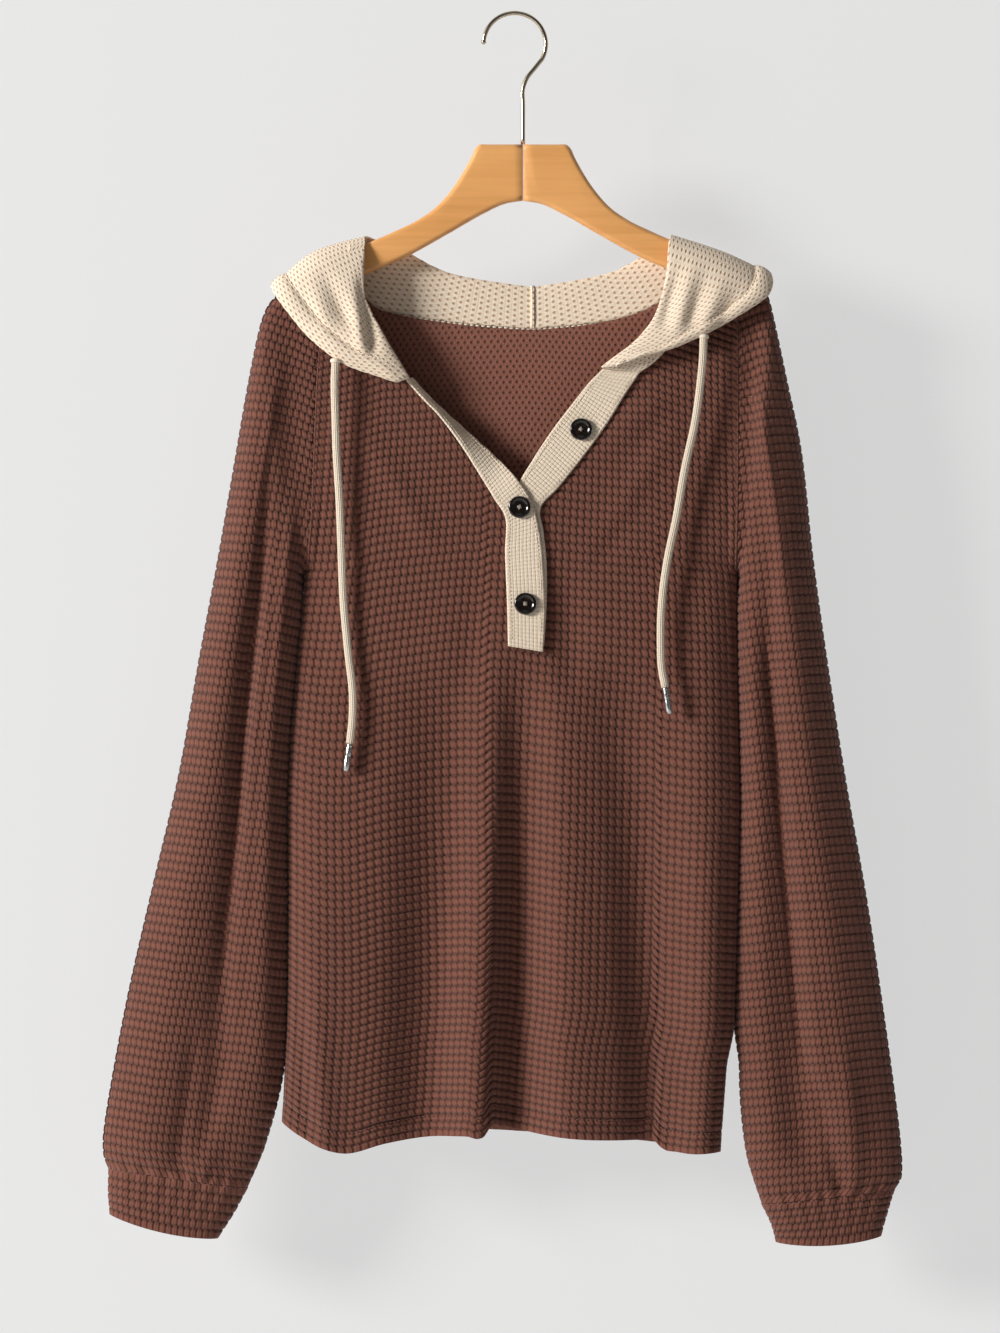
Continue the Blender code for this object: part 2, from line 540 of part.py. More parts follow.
def front_depth(x, height):
    """Depth of the front's outer face at a point of its front view."""
    left = body_value("left", height)
    right = body_value("right", height)
    across = (x - (left + right) / 2) / ((right - left) / 2)
    return panel_depth("front", FRONT_FOLDS, x, height, np.clip(across, -1.0, 1.0))


# ---------------------------------------------------------------- making meshes
def add_object(name, mesh, finish, collection):
    """An object of its own, with a Principled material in the part's colour."""
    material = bpy.data.materials.new(name + "_finish")
    material.use_nodes = True
    shader = material.node_tree.nodes["Principled BSDF"]
    shader.inputs["Base Color"].default_value = (*finish.colour, 1.0)
    shader.inputs["Roughness"].default_value = finish.roughness
    shader.inputs["Metallic"].default_value = finish.metallic
    material.diffuse_color = (*finish.colour, 1.0)
    mesh.materials.append(material)
    obj = bpy.data.objects.new(name, mesh)
    collection.objects.link(obj)
    return obj


def grid_mesh(name, points, closed=False, flip=False):
    """A mesh of quads over a grid of points (rows, columns, 3) in millimetres."""
    rows, columns = points.shape[:2]
    index = np.arange(rows * columns).reshape(rows, columns)
    if closed:
        index = np.concatenate((index, index[:, :1]), axis=1)
    quads = np.stack((index[:-1, :-1], index[:-1, 1:], index[1:, 1:], index[1:, :-1]), axis=-1)
    if flip:
        quads = quads[..., ::-1]
    mesh = bpy.data.meshes.new(name)
    mesh.from_pydata((points.reshape(-1, 3) * MM).tolist(), [], quads.reshape(-1, 4).tolist())
    mesh.shade_smooth()
    return mesh


def thicken(obj, offset=-1.0):
    """Give a surface the knit's thickness: inwards for -1, to both sides for 0."""
    wall = obj.modifiers.new("knit", "SOLIDIFY")
    wall.thickness = WALL * MM
    wall.offset = offset
    return obj


def add_wall(name, points, finish, collection, closed=False, flip=False, offset=-1.0):
    """A cloth wall from one grid of points."""
    obj = add_object(name, grid_mesh(name, points, closed, flip), finish, collection)
    return thicken(obj, offset)


# ---------------------------------------------------------------- panels
def hem_height(hem, x):
    """Height of a panel's hem at the given x."""
    return smooth_curve([p.x for p in hem], [p.height for p in hem], x)


def panel_rows(side, lines, opening, upper_rows, hem):
    """Outer and inner end of each row of half a panel, and the hem's share in it."""
    outer_height, inner_x, inner_height, hem_share = [], [], [], []
    outer = hem_height(hem, body_value(side, hem[0].height))
    centre = hem_height(hem, opening[0].x)
    for number, line in enumerate(lines):
        shares = np.arange(line.rows_below) / line.rows_below
        target = line.left if side == "left" else line.right
        outer_height.extend(outer + (target - outer) * shares)
        inner_height.extend(centre + (line.centre - centre) * shares)
        inner_x.extend([opening[0].x] * line.rows_below)
        hem_share.extend(1.0 - shares if number == 0 else 0.0 * shares)
        outer, centre = target, line.centre
    shares = np.concatenate(([0.0], upper_rows))
    edge = along_edge(opening, shares)
    shoulder = shoulder_height(body_value(side, ARM_ROW_HEIGHT))
    edge[:, 1] += (shoulder_height(opening[-1].x) - opening[-1].height) * shares
    outer_height.extend(outer + (shoulder - outer) * shares)
    inner_x.extend(edge[:, 0])
    inner_height.extend(edge[:, 1])
    hem_share.extend(0.0 * shares)
    return np.array((outer_height, inner_x, inner_height, hem_share))


def half_panel(side, depth_column, folds, lines, opening, upper_rows, hem):
    """Grid of half a panel: straight rows from its side or armhole edge to its inner edge."""
    outer_height, inner_x, inner_height, hem_share = panel_rows(side, lines, opening, upper_rows, hem)
    sign = -1.0 if side == "left" else 1.0
    across = np.array(HALF_COLUMNS + (1.0,))
    outer_x = body_value(side, outer_height)
    x = inner_x[:, None] + (outer_x - inner_x)[:, None] * across
    height = inner_height[:, None] + (outer_height - inner_height)[:, None] * across
    height = height + (hem_height(hem, x) - height[0]) * hem_share[:, None]
    depth = panel_depth(depth_column, folds, x, height, sign * across)
    below_arm = over_shoulder(shoulder_height(x) - height)
    turn = SIDE_TURN * (1.0 - armhole_share(height) / ARMHOLE_DEPTH) * body_value(depth_column, height)
    depth[:, -2] += turn[:, -2] * below_arm[:, -2]
    depth = depth + SEAM_GAP / 2 + SHOULDER_SEAM_OPENING * (1.0 - below_arm)
    y = -depth if depth_column == "front" else depth
    return np.stack((x, y, height), axis=-1)


def whole_panel(depth_column, folds, lines, openings, upper_rows, hem):
    """Both halves of a panel as two grids, which share their centre column below the opening."""
    return [half_panel(side, depth_column, folds, lines, opening, upper_rows, hem)
            for side, opening in zip(("left", "right"), openings)]


def add_panel(name, halves, finish, collection, facing_front):
    """A panel of two half grids, merged along the centre below the neck opening."""
    mesh = grid_mesh(name, halves[0], flip=facing_front)
    other = grid_mesh(name + "_half", halves[1], flip=not facing_front)
    joined = bmesh.new()
    joined.from_mesh(mesh)
    joined.from_mesh(other)
    bmesh.ops.remove_doubles(joined, verts=joined.verts, dist=0.02 * MM)
    joined.to_mesh(mesh)
    joined.free()
    bpy.data.meshes.remove(other)
    mesh.shade_smooth()
    return thicken(add_object(name, mesh, finish, collection))


# ---------------------------------------------------------------- sleeves and cuffs
def ring_places():
    """Places round a ring, outer to inner end and back, and which of them are on the front."""
    half = np.array(HALF_RING)
    across = np.concatenate((half, half[-2:0:-1]))[None, :]
    return across, (np.arange(across.shape[1]) < len(half))[None, :]


def tube_share(across):
    """Share of a tube's depth round its flattened section, 0 at both ends."""
    return (1.0 - np.abs(2.0 * across - 1.0) ** TUBE_POWER) ** (1.0 / TUBE_POWER)


def sleeve_grid(side, table):
    """Rings of a sleeve: each goes down the front from its outer to its inner end and back."""
    rows = np.array(table, float)
    places = (len(rows) - 1) * np.linspace(0.0, 1.0, SLEEVE_RINGS + 1) ** RING_SPREAD
    ring = smooth_curve(np.arange(len(rows)), rows, places)[:, None, :]
    across, is_front = ring_places()
    x = ring[..., 0] + (ring[..., 2] - ring[..., 0]) * across
    height = ring[..., 1] + (ring[..., 3] - ring[..., 1]) * across
    place = np.broadcast_to(places[:, None], x.shape)
    sign = -1.0 if side == "left" else 1.0
    seam_x = rows[0, 0] + (rows[0, 2] - rows[0, 0]) * across
    seam_height = rows[0, 1] + (rows[0, 3] - rows[0, 1]) * across
    bow = body_value(side, seam_height) + sign * SLEEVE_SET - seam_x
    x = x + bow * (1.0 - smooth_step(place / SEAM_ROWS))
    below = np.hypot(x - x[:, :1], height - height[:, :1])
    panel = np.where(is_front, body_value("front", height), body_value("back", height))
    at_shoulder = panel * armhole_share(np.maximum(height, ARMPIT_HEIGHT)) * over_shoulder(below)
    tube = np.where(is_front, ring[..., 4], ring[..., 5]) * tube_share(across)
    become = smooth_step((place - RINGS_OVER_ARM) / RINGS_TO_TUBE)
    depth = at_shoulder + (tube - at_shoulder) * become
    depth = depth + np.where(is_front, sleeve_folds(SLEEVE_FOLDS[side], place, across), 0.0)
    return np.stack((x, np.where(is_front, -depth, depth), height), axis=-1)


def sleeve_folds(folds, place, across):
    """Sum of a sleeve's folds, each fading in and out along the sleeve."""
    rise = np.zeros(np.broadcast(place, across).shape)
    for fold in folds:
        along = (place - fold.first) / (fold.last - fold.first)
        middle = fold.across_first + (fold.across_last - fold.across_first) * along
        grow = smooth_step(along * 4.0) * smooth_step((1.0 - along) * 6.0)
        rise = rise + fold.rise * grow * np.exp(-((across - middle) / fold.width) ** 2)
    return rise


def cuff_grid(table):
    """Rings of a cuff, from its seam down to its open mouth."""
    rows = np.array(table, float)
    places = np.linspace(0.0, len(rows) - 1.0, CUFF_RINGS + 1)
    ring = smooth_curve(np.arange(len(rows)), rows, places)[:, None, :]
    across, is_front = ring_places()
    x = ring[..., 0] + (ring[..., 2] - ring[..., 0]) * across
    sag = CUFF_SAG * (places / places[-1])[:, None] ** 2 * (1.0 - (2.0 * across - 1.0) ** 2)
    height = ring[..., 1] + (ring[..., 3] - ring[..., 1]) * across - sag
    depth = ring[..., 4] * tube_share(across)
    return np.stack((x, np.where(is_front, -depth, depth), height), axis=-1)


# ---------------------------------------------------------------- hood
def hood_grid(table, seam_sign):
    """Grid of half the hood, a smooth surface through its sections."""
    sections = np.array([[row.seam, row.roll, row.fold, row.edge] for row in table], float)
    steps = (len(table) - 2) * HOOD_ROUND_STEPS
    round_places = np.concatenate((np.arange(steps + 1) / HOOD_ROUND_STEPS, [len(table) - 1.0]))
    stations = smooth_curve(np.arange(len(table)), sections.reshape(len(table), -1), round_places)
    stations = stations.reshape(len(round_places), 4, 3)
    grid = smooth_curve(HOOD_KNOTS, stations.transpose(1, 0, 2).reshape(4, -1), np.array(HOOD_ACROSS))
    grid = grid.reshape(len(HOOD_ACROSS), len(round_places), 3).transpose(1, 0, 2)
    grid[-1, :, 0] = table[-1].seam.x + seam_sign * SEAM_GAP / 2
    return grid


# ---------------------------------------------------------------- placket and buttons
def band_grid(table):
    """Grid of a placket band: points of the front panel, moved out and turned back."""
    rows = np.array(table, float)
    places = np.linspace(0.0, len(rows) - 1.0, (len(rows) - 1) * BAND_STEPS + 1)
    return band_points(table, places, np.linspace(0.0, 1.0, BAND_ACROSS + 1))


def band_points(table, places, across):
    """Points of a band at places along its sections and across it."""
    rows = np.array(table, float)
    row = smooth_curve(np.arange(len(rows)), rows, places)[:, None, :]
    across = np.asarray(across)[None, :]
    x = row[..., 0] + (row[..., 2] - row[..., 0]) * across
    height = row[..., 1] + (row[..., 3] - row[..., 1]) * across
    depth = front_depth(x, height) + row[..., 4] - row[..., 5] * across ** BAND_TURN_POWER
    return np.stack((x, -depth, height), axis=-1)


def turned_mesh(name, profile, segments):
    """A turned solid from rings of (radius, height), closed on the axis at both ends."""
    mesh = bpy.data.meshes.new(name)
    build = bmesh.new()
    points = [build.verts.new((p[0], 0.0, p[1])) for p in profile]
    edges = [build.edges.new(pair) for pair in zip(points[:-1], points[1:])]
    bmesh.ops.spin(build, geom=points + edges, axis=(0, 0, 1), cent=(0, 0, 0), angle=2 * math.pi,
                   steps=segments, use_duplicate=False)
    bmesh.ops.remove_doubles(build, verts=build.verts, dist=0.02 * MM)
    bmesh.ops.recalc_face_normals(build, faces=build.faces)
    build.to_mesh(mesh)
    build.free()
    mesh.shade_smooth()
    return mesh


def seat_on_band(mesh, table, along, across):
    """Lay a turned piece on a band: its axis along the band's outward direction, clear of it."""
    here = band_points(table, [along], [across])[0, 0]
    ahead = band_points(table, [along + BUTTON_PROBE], [across])[0, 0] - here
    beside = band_points(table, [along], [across + BUTTON_PROBE])[0, 0] - here
    outward = np.cross(ahead, beside)
    outward /= np.linalg.norm(outward)
    if outward[1] > 0:
        outward = -outward
    first = beside / np.linalg.norm(beside)
    second = np.cross(outward, first)
    grid = band_grid(table).reshape(-1, 3) - here
    near = np.linalg.norm(grid - np.outer(grid @ outward, outward), axis=1) < BUTTON_DIAMETER
    near &= np.abs(grid @ outward) < BUTTON_DIAMETER / 2
    lift = max(0.0, (grid[near] @ outward).max()) + SEAM_GAP
    turn = np.array((first, second, outward))
    for vertex in mesh.vertices:
        vertex.co = tuple(np.array(vertex.co) @ turn + (here + outward * lift) * MM)
    mesh.update()


def add_button(place, collection):
    """A turned button with a raised rim, lying on its band."""
    table = BUTTON_BAND if place.band == "button" else BUTTONHOLE_BAND
    radius = BUTTON_DIAMETER / 2 * MM
    profile = [(p.away * radius, p.height * BUTTON_THICKNESS * MM) for p in BUTTON_PROFILE]
    mesh = turned_mesh(place.name, profile, BUTTON_SEGMENTS)
    seat_on_band(mesh, table, place.along, place.across)
    return add_object(place.name, mesh, DARK_BUTTON, collection)


# ---------------------------------------------------------------- strings, wire and wood
def add_tube(name, points, diameter, finish, collection):
    """A round tube along the points, in millimetres, with closed ends."""
    curve = bpy.data.curves.new(name, "CURVE")
    curve.dimensions = "3D"
    curve.bevel_depth = diameter / 2 * MM
    curve.bevel_resolution = 2
    curve.use_fill_caps = True
    spline = curve.splines.new("POLY")
    spline.points.add(len(points) - 1)
    for point, place in zip(spline.points, points):
        point.co = (*(np.asarray(place, float) * MM), 1.0)
    return add_object(name, curve, finish, collection)


def add_aglet(name, top, end, collection):
    """A metal string end between two points: a tube with a narrowed tip."""
    top, end = np.array(top, float), np.array(end, float)
    axis = end - top
    length = np.linalg.norm(axis)
    axis /= length
    radius = AGLET_DIAMETER / 2
    profile = [(0.0, 0.0), (radius, 0.0), (radius, length * AGLET_SHOULDER),
               (radius * AGLET_TIP, length), (0.0, length)]
    mesh = turned_mesh(name, [(r * MM, h * MM) for r, h in profile], AGLET_SEGMENTS)
    first = np.cross(axis, (0.0, 1.0, 0.0))
    first /= np.linalg.norm(first)
    turn = np.array((first, np.cross(axis, first), axis))
    for vertex in mesh.vertices:
        vertex.co = tuple(np.array(vertex.co) @ turn + top * MM)
    mesh.update()
    return add_object(name, mesh, STRING_METAL, collection)


def hook_points():
    """Middle line of the hook: a round bow, a bend back under it and the straight stem."""
    bow = [(HOOK_CENTRE[0] + HOOK_RADIUS * math.cos(turn), HOOK_CENTRE[1] + HOOK_RADIUS * math.sin(turn))
           for turn in np.radians(np.linspace(*HOOK_TURNS, HOOK_STEPS))]
    bend = along_edge(HOOK_BEND, np.linspace(0.0, 1.0, HOOK_BEND_STEPS))
    stem = [(HANGER_CENTRE, height) for height in (HOOK_BEND[-1][1] - 8.0, HANGER_TOP + SEAM_GAP)]
    return [(x, 0.0, height) for x, height in bow + [tuple(point) for point in bend[1:]] + stem]


def add_hanger_half(name, sign, collection):
    """Half the hanger: its flat outline, drawn out to its thickness with rounded edges."""
    inner = SEAM_GAP / 2 + HANGER_ROUNDING
    outline = [(inner, HANGER_TOP_EDGE[0].height)]
    outline += [(p.away, p.height) for p in HANGER_TOP_EDGE]
    for turn in np.radians(np.linspace(*ARM_END_TURNS, ARM_END_STEPS)):
        outline.append((ARM_END.away + math.cos(turn) * ARM_END_RADIUS,
                        ARM_END.height + math.sin(turn) * ARM_END_RADIUS))
    outline += [(p.away, p.height) for p in HANGER_LOWER_EDGE[:-1]]
    outline.append((inner, HANGER_LOWER_EDGE[-1].height))
    inset = shrink_outline(outline, HANGER_ROUNDING)
    curve = bpy.data.curves.new(name, "CURVE")
    curve.dimensions = "2D"
    curve.fill_mode = "BOTH"
    curve.extrude = (HANGER_THICKNESS / 2 - HANGER_ROUNDING) * MM
    curve.bevel_depth = HANGER_ROUNDING * MM
    curve.bevel_resolution = 1
    spline = curve.splines.new("POLY")
    spline.points.add(len(inset) - 1)
    for point, (away, height) in zip(spline.points, inset):
        point.co = (sign * away * MM, height * MM, 0.0, 1.0)
    spline.use_cyclic_u = True
    obj = add_object(name, curve, HONEY_WOOD, collection)
    obj.rotation_euler = (math.pi / 2, 0.0, 0.0)
    obj.location = (HANGER_CENTRE * MM, 0.0, 0.0)
    return obj


def shrink_outline(outline, inset):
    """The outline moved inwards, all but its straight joint edge, which is already set in."""
    points = np.array(outline, float)
    before = points - np.roll(points, 1, axis=0)
    after = np.roll(points, -1, axis=0) - points
    before /= np.linalg.norm(before, axis=1)[:, None]
    after /= np.linalg.norm(after, axis=1)[:, None]
    way = before + after
    way /= np.linalg.norm(way, axis=1)[:, None]
    inward = np.stack((way[:, 1], -way[:, 0]), axis=1)
    corner = np.sqrt((1.0 + (before * after).sum(axis=1)) / 2.0)
    moved = points + inward * (inset / np.maximum(corner, SHARPEST_CORNER))[:, None]
    moved[[0, -1], 0] = points[[0, -1], 0]
    moved[0, 1] = points[0, 1] - inset
    moved[-1, 1] = points[-1, 1] + inset
    return moved.tolist()


# ---------------------------------------------------------------- the whole
def clear_scene():
    """Remove the objects that the scene starts with."""
    for obj in list(bpy.data.objects):
        bpy.data.objects.remove(obj, do_unlink=True)


def main():
    """Build every piece in its own object."""
    clear_scene()
    collection = bpy.data.collections.new(COLLECTION_NAME)
    bpy.context.scene.collection.children.link(collection)

    front = whole_panel("front", FRONT_FOLDS, FRONT_LINES, (FRONT_OPENING_LEFT, FRONT_OPENING_RIGHT),
                        FRONT_UPPER_ROWS, FRONT_HEM)
    back = whole_panel("back", BACK_FOLDS, BACK_LINES, (BACK_NECK_LEFT, BACK_NECK_RIGHT),
                       BACK_UPPER_ROWS, BACK_HEM)
    add_panel("front", front, BROWN_KNIT, collection, facing_front=True)
    add_panel("back", back, BROWN_KNIT, collection, facing_front=False)

    for side, sleeve, cuff in (("left", SLEEVE_LEFT, CUFF_LEFT), ("right", SLEEVE_RIGHT, CUFF_RIGHT)):
        is_left = side == "left"
        add_wall("sleeve_" + side, sleeve_grid(side, sleeve), BROWN_KNIT, collection,
                 closed=True, flip=is_left)
        add_wall("cuff_" + side, cuff_grid(cuff), BROWN_KNIT, collection, closed=True, flip=is_left)

    add_wall("hood_left", hood_grid(HOOD_LEFT, -1.0), CREAM_KNIT, collection, offset=0.0)
    add_wall("hood_right", hood_grid(HOOD_RIGHT, 1.0), CREAM_KNIT, collection, flip=True, offset=0.0)

    add_wall("placket_buttonhole_band", band_grid(BUTTONHOLE_BAND), CREAM_KNIT, collection, flip=True)
    add_wall("placket_button_band", band_grid(BUTTON_BAND), CREAM_KNIT, collection)
    for place in BUTTONS:
        add_button(place, collection)

    for side, route in (("left", STRING_LEFT), ("right", STRING_RIGHT)):
        points = along_edge(route, np.linspace(0.0, 1.0, STRING_STEPS))
        add_tube("drawstring_" + side, points, STRING_DIAMETER, CREAM_CORD, collection)
        end = np.array(AGLET_ENDS[side], float)
        way = (end - points[-1]) / np.linalg.norm(end - points[-1])
        add_aglet("aglet_" + side, points[-1] + way * SEAM_GAP, end, collection)

    add_hanger_half("hanger_left", -1.0, collection)
    add_hanger_half("hanger_right", 1.0, collection)
    add_tube("hook", hook_points(), WIRE_DIAMETER, HOOK_METAL, collection)


main()
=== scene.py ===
"""Looks of a half-button hoodie in waffle knit on its wooden clothes hanger.

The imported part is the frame. Each piece of cloth is worked out again from the same tables as
its solid, on a finer grid, with the waffle's cells, seams and small folds on its faces. Tables
are in millimetres, and MM turns them into metres. "Left" and "right" are as seen from the front.
"""

import logging
import math
from dataclasses import dataclass, field
from enum import Enum
from typing import Callable, NamedTuple, Sequence

import bmesh
import bpy
import numpy as np
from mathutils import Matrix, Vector


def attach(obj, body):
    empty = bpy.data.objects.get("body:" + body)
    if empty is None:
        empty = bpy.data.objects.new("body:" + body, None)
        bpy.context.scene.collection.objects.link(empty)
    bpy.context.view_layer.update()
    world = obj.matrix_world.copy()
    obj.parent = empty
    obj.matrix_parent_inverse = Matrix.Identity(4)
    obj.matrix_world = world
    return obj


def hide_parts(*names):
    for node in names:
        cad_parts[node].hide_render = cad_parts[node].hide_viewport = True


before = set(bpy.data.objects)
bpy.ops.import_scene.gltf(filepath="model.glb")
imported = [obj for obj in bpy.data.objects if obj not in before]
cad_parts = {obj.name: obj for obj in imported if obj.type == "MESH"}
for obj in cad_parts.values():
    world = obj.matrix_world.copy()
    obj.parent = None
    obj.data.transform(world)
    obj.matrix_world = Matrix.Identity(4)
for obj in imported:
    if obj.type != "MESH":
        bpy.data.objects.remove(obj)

Array = np.ndarray
Material = bpy.types.Material
Piece = bpy.types.Object
Socket = bpy.types.NodeSocket
Triple = tuple[float, float, float]
Colour = Triple         # red, green and blue, from 0 to 1
Faces = list[list[int]]
Solid = tuple[Array, Faces]     # points in millimetres, and faces by the numbers of their corners
Line = tuple[Array, Array]      # points of a line on the cloth, and the outward ways there
log = logging.getLogger("hoodie")

MM = 0.001
SIGN = {"left": -1.0, "right": 1.0}
WALL = 2.0              # thickness of the knit
SEAM_GAP = 0.3          # between two pieces that are sewn together
ARM_GAP = 0.8           # between the cloth and the hanger's arm that carries it


# ---------------------------------------------------------------- rows of the tables
class OutlinePoint(NamedTuple):
    """A point of a wooden half's outline: distance from the joint, and height."""

    away: float
    height: float


class ViewPoint(NamedTuple):
    """A point of an edge in the front view."""

    x: float
    height: float


class Place(NamedTuple):
    """A point in millimetres."""

    x: float
    y: float
    z: float


class BodyRow(NamedTuple):
    """One height of the body: its side edges, and its depth in front and behind.

    Below the armpit the edges are the side seams, and above it the armhole seams.
    """

    height: float
    left: float
    right: float
    front: float
    back: float


class Fold(NamedTuple):
    """A ridge, or with a negative rise a trough, from its top to its foot, and its half widths."""

    name: str
    top_x: float
    top_height: float
    foot_x: float
    foot_height: float
    rise: float
    left_width: float
    right_width: float


class FineFold(Fold):
    """A small fold, which the solid leaves out."""


class LineRow(NamedTuple):
    """Lines of crests and troughs at one height of the front: x, and how far it stands out there."""

    height: float
    belly_x: float
    belly: float
    trough_x: float
    trough: float
    ridge_x: float
    ridge: float
    foot_x: float
    foot: float
    swell_x: float
    swell: float
    hollow_x: float
    hollow: float
    side_x: float
    side: float


class SleeveRow(NamedTuple):
    """A ring of a sleeve: outer and inner end, and depth in front and behind."""

    outer_x: float
    outer_height: float
    inner_x: float
    inner_height: float
    front: float
    back: float


class SleeveFold(NamedTuple):
    """A fold of a sleeve, by rows of its table and share across: 0 outer, 1 inner."""

    name: str
    first: float
    last: float
    across_first: float
    across_last: float
    rise: float
    width: float


class CuffRow(NamedTuple):
    """A ring of a cuff: outer and inner end, and depth."""

    outer_x: float
    outer_height: float
    inner_x: float
    inner_height: float
    depth: float


class HoodRow(NamedTuple):
    """A section of the hood: neck seam, roll, fold and edge of the face opening.

    On the lapel the fold is the section's middle, and behind the neck it is the pouch's bottom.
    """

    name: str
    seam: Place
    roll: Place
    fold: Place
    edge: Place


class BandRow(NamedTuple):
    """A section of a placket band: its edges, its lift off the front and its inner edge's turn."""

    outer_x: float
    outer_height: float
    inner_x: float
    inner_height: float
    lift: float
    turn: float


class ButtonPlace(NamedTuple):
    """Where a button lies: which band, and its place along and across it."""

    name: str
    band: str
    along: float
    across: float


class SheetCut(NamedTuple):
    """A piece of cloth's flat cut in metres and square metres, and what it hangs on."""

    width: float
    length: float
    area: float
    rests_on: list[str]


def table(kind: Callable, *rows: Sequence) -> tuple:
    """The rows of a table, each made the named tuple that names its columns."""
    return tuple(kind(*row) for row in rows)


def hood_row(name: str, *places: Sequence[float]) -> HoodRow:
    """A section of the hood from its four places."""
    return HoodRow(name, *(Place(*place) for place in places))


# ---------------------------------------------------------------- hanger sizes
HANGER_CENTRE = 5.6     # x of the joint between the two wooden halves
HANGER_THICKNESS = 11.0
HANGER_ROUNDING = 4.0
JOINT_ROUNDING = 0.5    # the two halves meet in a fine groove
WIRE_DIAMETER = 3.6
HOOK_RADIUS = 25.0      # to the middle of the wire
HOOK_CENTRE = (-1.0, WIRE_DIAMETER / 2 - HOOK_RADIUS)
HOOK_TURNS = (176.0, -29.3)         # from the tip over the top to the start of the bend, degrees
HOOK_TIP_RADIUS = 2.15
# The bend from the bow back to the stem under the bow's middle: x, height.
HOOK_BEND = ((20.8, -35.4), (15.7, -41.8), (8.2, -51.7), (5.6, -59.2), (5.6, -71.2))
HANGER_TOP = -103.8     # top of the wood at the hook
HANGER_FOOT = -149.0    # and its lower edge at the joint
# From the flat top round to the arm's top edge.
HANGER_CORNER = ((29.0, -103.8), (35.0, -104.0), (38.6, -107.6), (41.0, -113.0))
HANGER_TOP_EDGE = table(
    OutlinePoint,
    (36, -103.8), (41, -113), (46.4, -123.2), (60, -143.6), (70, -154.5), (83.2, -163.8), (104, -174),
    (125.6, -183.4), (160, -199.8),
)
HANGER_LOWER_EDGE = table(
    OutlinePoint,
    (160, -222.3), (126.4, -208.2), (88.8, -191.5), (60, -175.5), (31, -159), (14, -151.2), (0, -149),
)
ARM_END = OutlinePoint(168.0, -214.6)   # middle of the arm's round end
ARM_END_RADIUS = 10.0
ARM_END_TURNS = (62.0, -112.0)
SHARPEST_CORNER = 0.5   # limits how far a corner of the outline moves when it is inset
SHOULDER_FROM = HANGER_TOP_EDGE[-2]
SHOULDER_SLOPE = (HANGER_TOP_EDGE[-2].height - HANGER_TOP_EDGE[-1].height) / (
    HANGER_TOP_EDGE[-1].away - HANGER_TOP_EDGE[-2].away)

# ---------------------------------------------------------------- body of the garment
BODY = table(
    BodyRow,
    (-925, -188.5, 163, 27, 20), (-874, -187, 166.8, 26.5, 20), (-835, -183.4, 169.6, 26.2, 20),
    (-789, -180.8, 172, 26, 20), (-709, -180.2, 173.6, 25, 19), (-629, -179.6, 174.4, 24, 18),
    (-565, -176.8, 174.8, 23, 17.5), (-509, -172.8, 175.2, 22, 17), (-448, -167.6, 176, 20.5, 16),
    (-405, -164, 177, 19, 15), (-349, -161.6, 177.6, 16.5, 14), (-291, -159.2, 177.6, 13.5, 12.5),
    (-240, -155.4, 177.6, 11, 11), (-185, -155.2, 177.6, 9.5, 10),
)
ARMPIT_HEIGHT = -448.0
ARMHOLE_ROUNDING = 45.0     # height over which the armhole opens above the armpit
ARMHOLE_DEPTH = 0.86        # depth at the armhole seam, as a share of the panel's depth
ARMHOLE_TOP = -232.0        # the armhole's sewn line ends here, under the hood
SIDE_POWER = 3.6            # how square the sides are rounded
SHOULDER_RADIUS = 9.0       # rounding of the cloth over the hanger's arm
SHOULDER_POWER = 2.0
SHOULDER_SEAM_OPENING = 0.5 # the walls stand on edge there, so their outer faces part by this
HEM_STITCH = 16.0           # height of the hem's sewn line above the edge
HEM_STITCH_ENDS = (-176.0, 160.0)
FRONT_HEM = table(
    ViewPoint,
    (-189, -886), (-172.8, -897.4), (-138.4, -911), (-104.8, -903.8), (-76.8, -899.8), (-40, -897.2),
    (-25, -896.4), (-20.5, -889.6), (-12, -890), (3.2, -893.4), (43.2, -899), (100, -901.4), (111, -901.8),
    (115, -906.6), (131.2, -911), (165.6, -911),
)
BACK_HEM = table(
    ViewPoint,
    (-189, -886), (-100, -893), (0, -896), (90, -904), (165.6, -911),
)
# Neck edges, from the foot of the neck opening up to the shoulder seam.
FRONT_OPENING_LEFT = table(
    ViewPoint,
    (6.4, -414), (-6.2, -404.6), (-16, -388.2), (-29.4, -368.6), (-46.6, -343.6), (-62.6, -322),
    (-76.4, -306.7), (-88, -292), (-103.5, -281), (-123.5, -256), (-131.3, -233), (-132.4, -209.5),
    (-131.2, -186),
)
FRONT_OPENING_RIGHT = table(
    ViewPoint,
    (6.4, -414), (17.8, -394.5), (32.9, -377.7), (52, -353.8), (70.4, -328.2), (84.5, -306), (96, -288),
    (110.5, -278), (123, -262), (131, -240), (136, -215), (139.2, -188),
)
BACK_NECK_LEFT = table(
    ViewPoint,
    (13.6, -251.8), (-28.8, -249.4), (-60.8, -245.4), (-92.8, -240), (-114, -233), (-125, -220),
    (-129.5, -204), (-131.2, -186),
)
BACK_NECK_RIGHT = table(
    ViewPoint,
    (13.6, -251.8), (55, -249), (86, -243.5), (110, -235.5), (126, -222), (135, -206), (139.2, -188),
)

